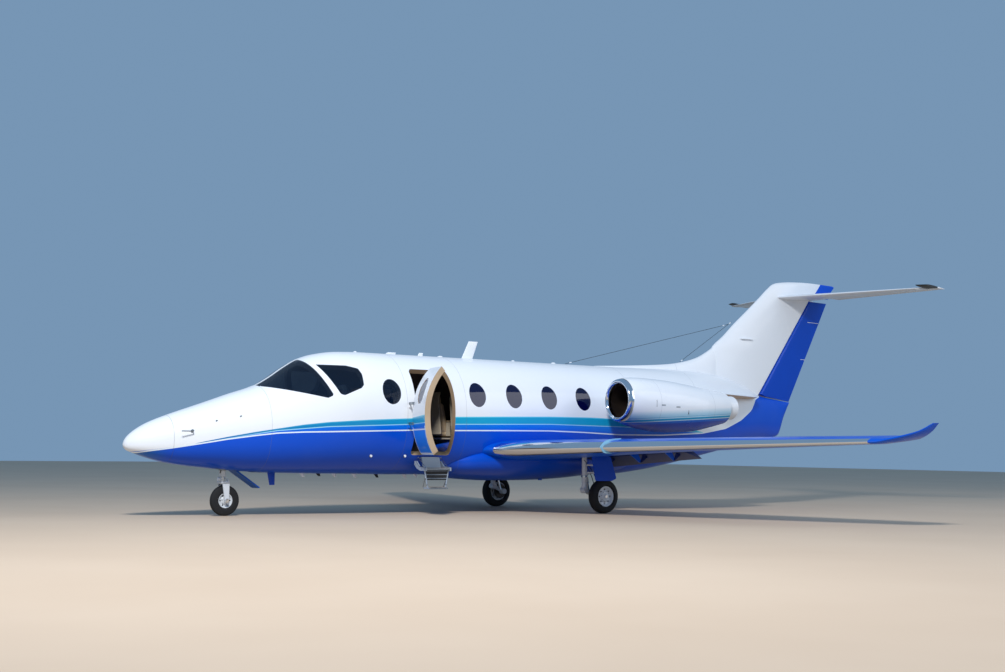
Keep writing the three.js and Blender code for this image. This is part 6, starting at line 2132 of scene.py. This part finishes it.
ROOF_DOMES = ((3.630, .026, .016), (5.190, .045, .020), (6.640, .030, .018), (7.490, .040, .022))
ROOF_BLADES = ((4.150, 4.350, .040), (4.760, 4.860, .058))
BELLY_BLADES = (
    (2.750, .062, 0), (3.020, .050, 1), (3.290, .058, 0), (3.640, .066, 0), (4.030, .060, 1),
    (4.540, .070, 0), (4.740, .052, 0),
)
BELLY_LAMPS = ((3.536, .670, .868), (4.118, .688, .872))
STATIC_PLATES = ((1.180, 1.330), (1.520, 1.400))
WIRES = (((11.640, 3.350), (7.746, 2.440)), ((11.730, 3.400), (10.420, 2.600)))
WIRE_RADIUS = .0035


@dataclass
class Fittings:
    """The small fittings on the outside: aerials, probes, static plates, domes and lamps."""

    looks: Looks

    def build(self) -> None:
        """Build all the fittings as one piece.

        Finishes: 0 white, 1 dark, 2 steel, 3 lamp glass.
        """
        piece = Piece("outside_fittings")
        self.build_roof(piece)
        self.build_belly(piece)
        self.build_probes(piece)
        self.build_wires(piece)
        looks = pick(self.looks, "white", "black", "steel", "lamp")
        piece.finish("airframe", "white_paint", looks)

    def dome(self, piece: Piece, foot: Vector, radius: float, height: float) -> None:
        """A low round cover: a quarter ellipse turned about an upright line."""
        t = np.linspace(0, np.pi / 2 - .04, 9)
        flange = [(radius * 1.12, -.012), (radius * 1.12, .003)]
        profile = [*flange, *zip(radius * np.cos(t), .003 + height * np.sin(t))]
        piece.turned(profile, foot, Vector((0, 0, 1)), 28)

    def build_roof(self, piece: Piece) -> None:
        """Round domes and two blade aerials along the crown."""
        for station, radius, height in ROOF_DOMES:
            self.dome(piece, spot(station, 0, FUSELAGE.top(station) - .002), radius, height)
        for front, rear, tall in ROOF_BLADES:
            low = min(FUSELAGE.top(front), FUSELAGE.top(rear)) - .010
            lean = (rear - front) * .35
            outline = [(front, low), (rear, low), (rear + lean * .2, low + tall), (front + lean, low + tall)]
            piece.loft(blade(outline, .007), 0)

    def build_belly(self, piece: Piece) -> None:
        """A row of blade aerials and two lamps under the belly."""
        for station, tall, finish in BELLY_BLADES:
            foot = FUSELAGE.keel(station) + .010
            tip = foot - tall
            outline = [
                (station - .035, foot), (station + .040, foot), (station + .062, tip), (station + .020, tip),
            ]
            piece.loft(blade(outline, .006), finish)
        for station, y, z in BELLY_LAMPS:
            piece.rod(spot(station, y - .020, z), spot(station, y + .006, z), .024, 20, 2, .002)
            piece.rod(spot(station, y + .002, z), spot(station, y + .010, z), .018, 20, 3, .003)

    def build_probes(self, piece: Piece) -> None:
        """An air data probe and a static plate on each side of the nose."""
        for _, side in SIDES:
            out = FUSELAGE.side_y(.840, 1.185)
            turn = np.linspace(0, np.pi / 2, 9)
            arm = [(.840, out - .012), (.840, out + .030)]
            bend = [(.820 + .020 * math.cos(t), out + .030 + .020 * math.sin(t)) for t in turn]
            tube = [(.800, out + .050), (.660, out + .050)]
            path = np.array([*arm, *bend, *tube])
            piece.pipe(place(path[:, 0], path[:, 1] * side, 1.185), .0075, 14, 2)
            inner, outer = (spot(.840, (out + reach) * side, 1.185) for reach in (-.010, .005))
            piece.rod(inner, outer, .026, 24, 2, .002)
            for station, z in STATIC_PLATES:
                y = FUSELAGE.side_y(station, z)
                inner, outer = (spot(station, (y + reach) * side, z) for reach in (-.010, .0015))
                piece.rod(inner, outer, .017, 20, 2, .001)

    def build_wires(self, piece: Piece) -> None:
        """Two wire aerials from the fin down to the roof, drawn straight, with their insulators."""
        for high, low in WIRES:
            start, end = spot(high[0], 0, high[1]), spot(low[0], 0, low[1])
            piece.rod(start, end, WIRE_RADIUS, 8, 1, .001)
            for share in (.03, .97):
                middle = start.lerp(end, share)
                reach = (end - start).normalized() * .022
                piece.rod(middle - reach, middle + reach, .009, 14, 0, .003)


# Setting

SENSOR_WIDTH = 36
FOCAL_PIXELS = 1440.47
PHOTO_WIDTH = 1005
CAMERA_PLACE = Vector((15.04, 18.79, 1.00))
CAMERA_LOOK = Vector((-.59787, -.79779, .07796))
CAMERA_ROLL = .735
SURROUND = (.40, .66, 1.0, 1)
SURROUND_STRENGTH = .46


def build_camera() -> None:
    """The camera, at the photograph's place and angle."""
    camera = bpy.data.cameras.new("camera")
    camera.sensor_width, camera.clip_end = SENSOR_WIDTH, 300
    camera.lens = FOCAL_PIXELS / PHOTO_WIDTH * SENSOR_WIDTH
    holder = bpy.data.objects.new("camera", camera)
    look = CAMERA_LOOK.normalized()
    right = look.cross(Vector((0, 0, 1))).normalized()
    up = right.cross(look)
    roll = math.radians(CAMERA_ROLL)
    right, up = right * math.cos(roll) + up * math.sin(roll), up * math.cos(roll) - right * math.sin(roll)
    matrix = Matrix((right, up, -look)).transposed().to_4x4()
    matrix.translation = CAMERA_PLACE
    holder.matrix_world = matrix
    bpy.context.scene.collection.objects.link(holder)
    bpy.context.scene.camera = holder


def build_floor() -> None:
    """A plain pale sand-coloured floor."""
    piece = bpy.data.meshes.new("floor")
    reach = 60.0
    corners = [(-reach, -reach, 0), (reach, -reach, 0), (reach, reach, 0), (-reach, reach, 0)]
    piece.from_pydata(corners, [], [(0, 1, 2, 3)])
    recipe = Recipe("pale_floor", Roughness=.75)
    drift = recipe.noise(.35, 3)
    recipe.feed(Base_Color=recipe.mix(drift, tone("d2bda6"), tone("c4ad95")))
    piece.materials.append(recipe.material)
    floor = bpy.data.objects.new("floor", piece)
    bpy.context.scene.collection.objects.link(floor)


def build_lights() -> None:
    """Plain studio light: a round key lamp, a large fill, and an even light blue surround."""
    world = bpy.data.worlds.new("surround")
    bpy.context.scene.world = world
    world.use_nodes = True
    background = world.node_tree.nodes["Background"]
    background.inputs[0].default_value = SURROUND
    background.inputs[1].default_value = SURROUND_STRENGTH
    bpy.context.scene.view_settings.view_transform = "Standard"
    for name, energy, size, place_at, aim in (
        ("key", 3500, 3, (13, 12, 14), (0, 0, 1.2)),
        ("fill", 800, 12, (-14, 14, 9), (0, 0, 1.2)),
    ):
        lamp = bpy.data.lights.new(name, "AREA")
        lamp.energy, lamp.size, lamp.shape = energy, size, "DISK"
        holder = bpy.data.objects.new(name, lamp)
        way = Vector(aim) - Vector(place_at)
        holder.matrix_world = Matrix.Translation(place_at) @ way.to_track_quat("-Z", "Y").to_matrix().to_4x4()
        bpy.context.scene.collection.objects.link(holder)


def mix_looks() -> Looks:
    """All the finishes by name."""
    return {
        "skin": skin_paint("striped_paint"),
        "door_skin": skin_paint("door_paint", turned=True),
        "lining": soft_finish("cabin_lining", "4a4038", "5a4e44", .8, 60, .001),
        "reveal": plain_paint("window_surround", "aab2bd", "8b93a0"),
        "jamb": plain_paint("door_jamb", "b59c80", "8f7860", Gloss(.5, .1)),
        "door_lining": soft_finish("door_lining", "8c7a66", "a5937d", .7, 40, .001),
        "door_rim": plain_paint("door_rim", "c9b49a", "a08a70", Gloss(.45, .15)),
        "clear_glass": glass("cockpit_glass", "0a1a30", .58),
        "dark_glass": glass("cabin_glass", "04083a", .95),
        "wing": plain_paint("wing_blue", "0058d0", "004cbc", grain=1.2),
        "fence": plain_paint("fence_paint", "8fc3e2", "79b1d4"),
        # The flap's dark navy, darker than the wing's blue, is painted shade.
        "flap": plain_paint("flap_blue_painted_shade", "06206e", "04184f", grain=1.2),
        "rudder": plain_paint("royal_blue", "004ac8", "0040b4", grain=1.2),
        "bay_door": plain_paint("bay_door_blue", "0a44a8", "235aa0", grain=4),
        "white": plain_paint("white_gloss", "e9edf3", "dfe3e9"),
        "nacelle": nacelle_paint(),
        "duct": metal("duct_metal", "8f7f72", "6f6156", .38, (1, 12, 12)),
        "lip": metal("lip_metal", "e6ebf2", "cfd6df", .1, (12, 1, 1)),
        "polished": metal("polished_strip", "eceef0", "d9dcdf", .12, (1, 14, 14)),
        "core": metal("core_metal", "7c766e", "5b554f", .5),
        "fan": metal("blade_metal", "8d8f92", "6c6f73", .32),
        "spinner": plain_paint("spinner_grey", "55585e", "44474d"),
        "steel": metal("bare_steel", "a6abaf", "878d93", .35),
        "chrome": metal("ground_chrome", "eceef0", "cfd2d6", .08),
        "brake": metal("brake_metal", "5c5550", "3f3a37", .55),
        "gear": plain_paint("gear_white", "dfe3e7", "c6ccd2", Gloss(.4, .3)),
        "rubber": soft_finish("tyre_rubber", "0d0e11", "191a1d", .82, 90, .0008),
        # Tan: a painted reflection of the ground on the strakes' undersides.
        "tan": plain_paint("strake_underside_painted_reflection", "c9ad92", "b2947a", Gloss(.5, .2)),
        "black": plain_paint("horn_black", "15171b", "1e2126", Gloss(.45, .3)),
        # Painted shadow on the nacelles' rear steps and in the wheels' holes; also the dark seam plates on
        # the nacelles.
        "shadow_and_seams": soft_finish("painted_shadow_and_seam_black", "0c0d10", "16171a", .9, 80, .0004),
        "lamp": glass("lamp_glass", "e9eef4", 1.0),
        "carpet": soft_finish("cabin_carpet", "5e564c", "74695c", .95, 220, .002),
        "wood": wood("cabin_wood"),
        "panel": soft_finish("panel_black", "15161a", "24262b", .6, 120, .0006),
        "leather": soft_finish("seat_leather", "b8a383", "a08a6b", .55, 160, .0008),
        "shell": plain_paint("seat_shell", "c9bda6", "b5a78d", Gloss(.5, .2)),
        "belt": soft_finish("lap_strap", "3c3f47", "50545e", .8, 300, .0006),
        "step": plain_paint("step_grey", "a3aebc", "8695a8", Gloss(.45, .2)),
        "tread": soft_finish("step_tread", "b3957a", "94775c", .85, 140, .0015),
    }


def glass(name: str, colour: str, alpha: float) -> bpy.types.Material:
    """Tinted glass, whose tint deepens a little towards the top."""
    recipe = Recipe(name, Roughness=.03, Alpha=alpha)
    _, _, z = recipe.axes()
    deep = recipe.maths("MULTIPLY", z - 1.65, 2.0, clamp=True)
    recipe.feed(Base_Color=recipe.mix(deep * .4, tone(colour), tone("02040c")))
    return recipe.material


def nacelle_paint() -> bpy.types.Material:
    """White paint over the nacelle, with thin blue and teal stripes that start under its side."""
    recipe = Recipe("nacelle_paint", **Gloss(coat=.22).coating())
    station, _, z = recipe.axes()
    sink = (station - 8.3) * .06
    level = z - sink
    colour = recipe.mix(level.below(1.60, .09), WHITE, tone("a9d3ea"))
    colour = recipe.mix(level.below(1.525, .03), colour, tone("1699cf"))
    colour = recipe.mix(level.near(1.512, .007), colour, tone("bfe4f2"))
    colour = recipe.mix(level.below(1.470, .01), colour, tone("0467d2"))
    colour = recipe.mix(level.near(1.468, .006), colour, tone("c8e8f4"))
    colour = recipe.mix(level.below(1.425, .02), colour, tone("0342b4"))
    colour = recipe.mix(seams(station, (8.36, 9.62)) * .5, colour, tone("6a727e"))
    drift = recipe.noise(1.8, 4)
    recipe.feed(Base_Color=colour, Roughness=.26 + (drift - .5) * .1)
    return recipe.bump(drift, .2, .002).material


def wood(name: str) -> bpy.types.Material:
    """Varnished wood: rings seen along the grain, bent by noise."""
    recipe = Recipe(name, Coat_Weight=.7, Coat_Roughness=.1)
    grain = recipe.noise(3, 4, (.4, 4, .4))
    fine = recipe.noise(30, 4, (.2, 4, .2))
    rings = recipe.maths("SINE", grain * 40) * .5 + .5
    colour = recipe.mix(rings * .6 + fine * .4, tone("5b3a22"), tone("7c5433"))
    recipe.feed(Base_Color=colour, Roughness=.35 + fine * .1)
    return recipe.bump(fine, .15, .0005).material


def dress(frame: dict, looks: Looks) -> None:
    """Give each CAD node that stays in view its finish."""
    kept = {
        "cabin_floor": "carpet", "aft_bulkhead": "wood", "entry_cabinet": "wood", "instrument_panel": "panel",
    }
    for node, look in kept.items():
        thing = frame["nodes"][node]
        thing.data.materials.clear()
        thing.data.materials.append(looks[look])
        LOG.info("%s dressed in %s", node, look)


def main() -> None:
    """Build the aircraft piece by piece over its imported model."""
    logging.basicConfig(level=logging.INFO, format="%(name)s: %(message)s")
    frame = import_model()
    build_camera()
    build_floor()
    build_lights()
    looks = mix_looks()
    dress(frame, looks)
    Fuselage(looks=looks).build()
    for name, side in SIDES:
        Wing(name, side, looks=looks).build()
        Engine(name, side, looks=looks).build()
    Tail(looks=looks).build()
    Gear(looks=looks).build()
    Cabin(looks=looks).build()
    Fittings(looks=looks).build()


if __name__ == "__main__":
    main()
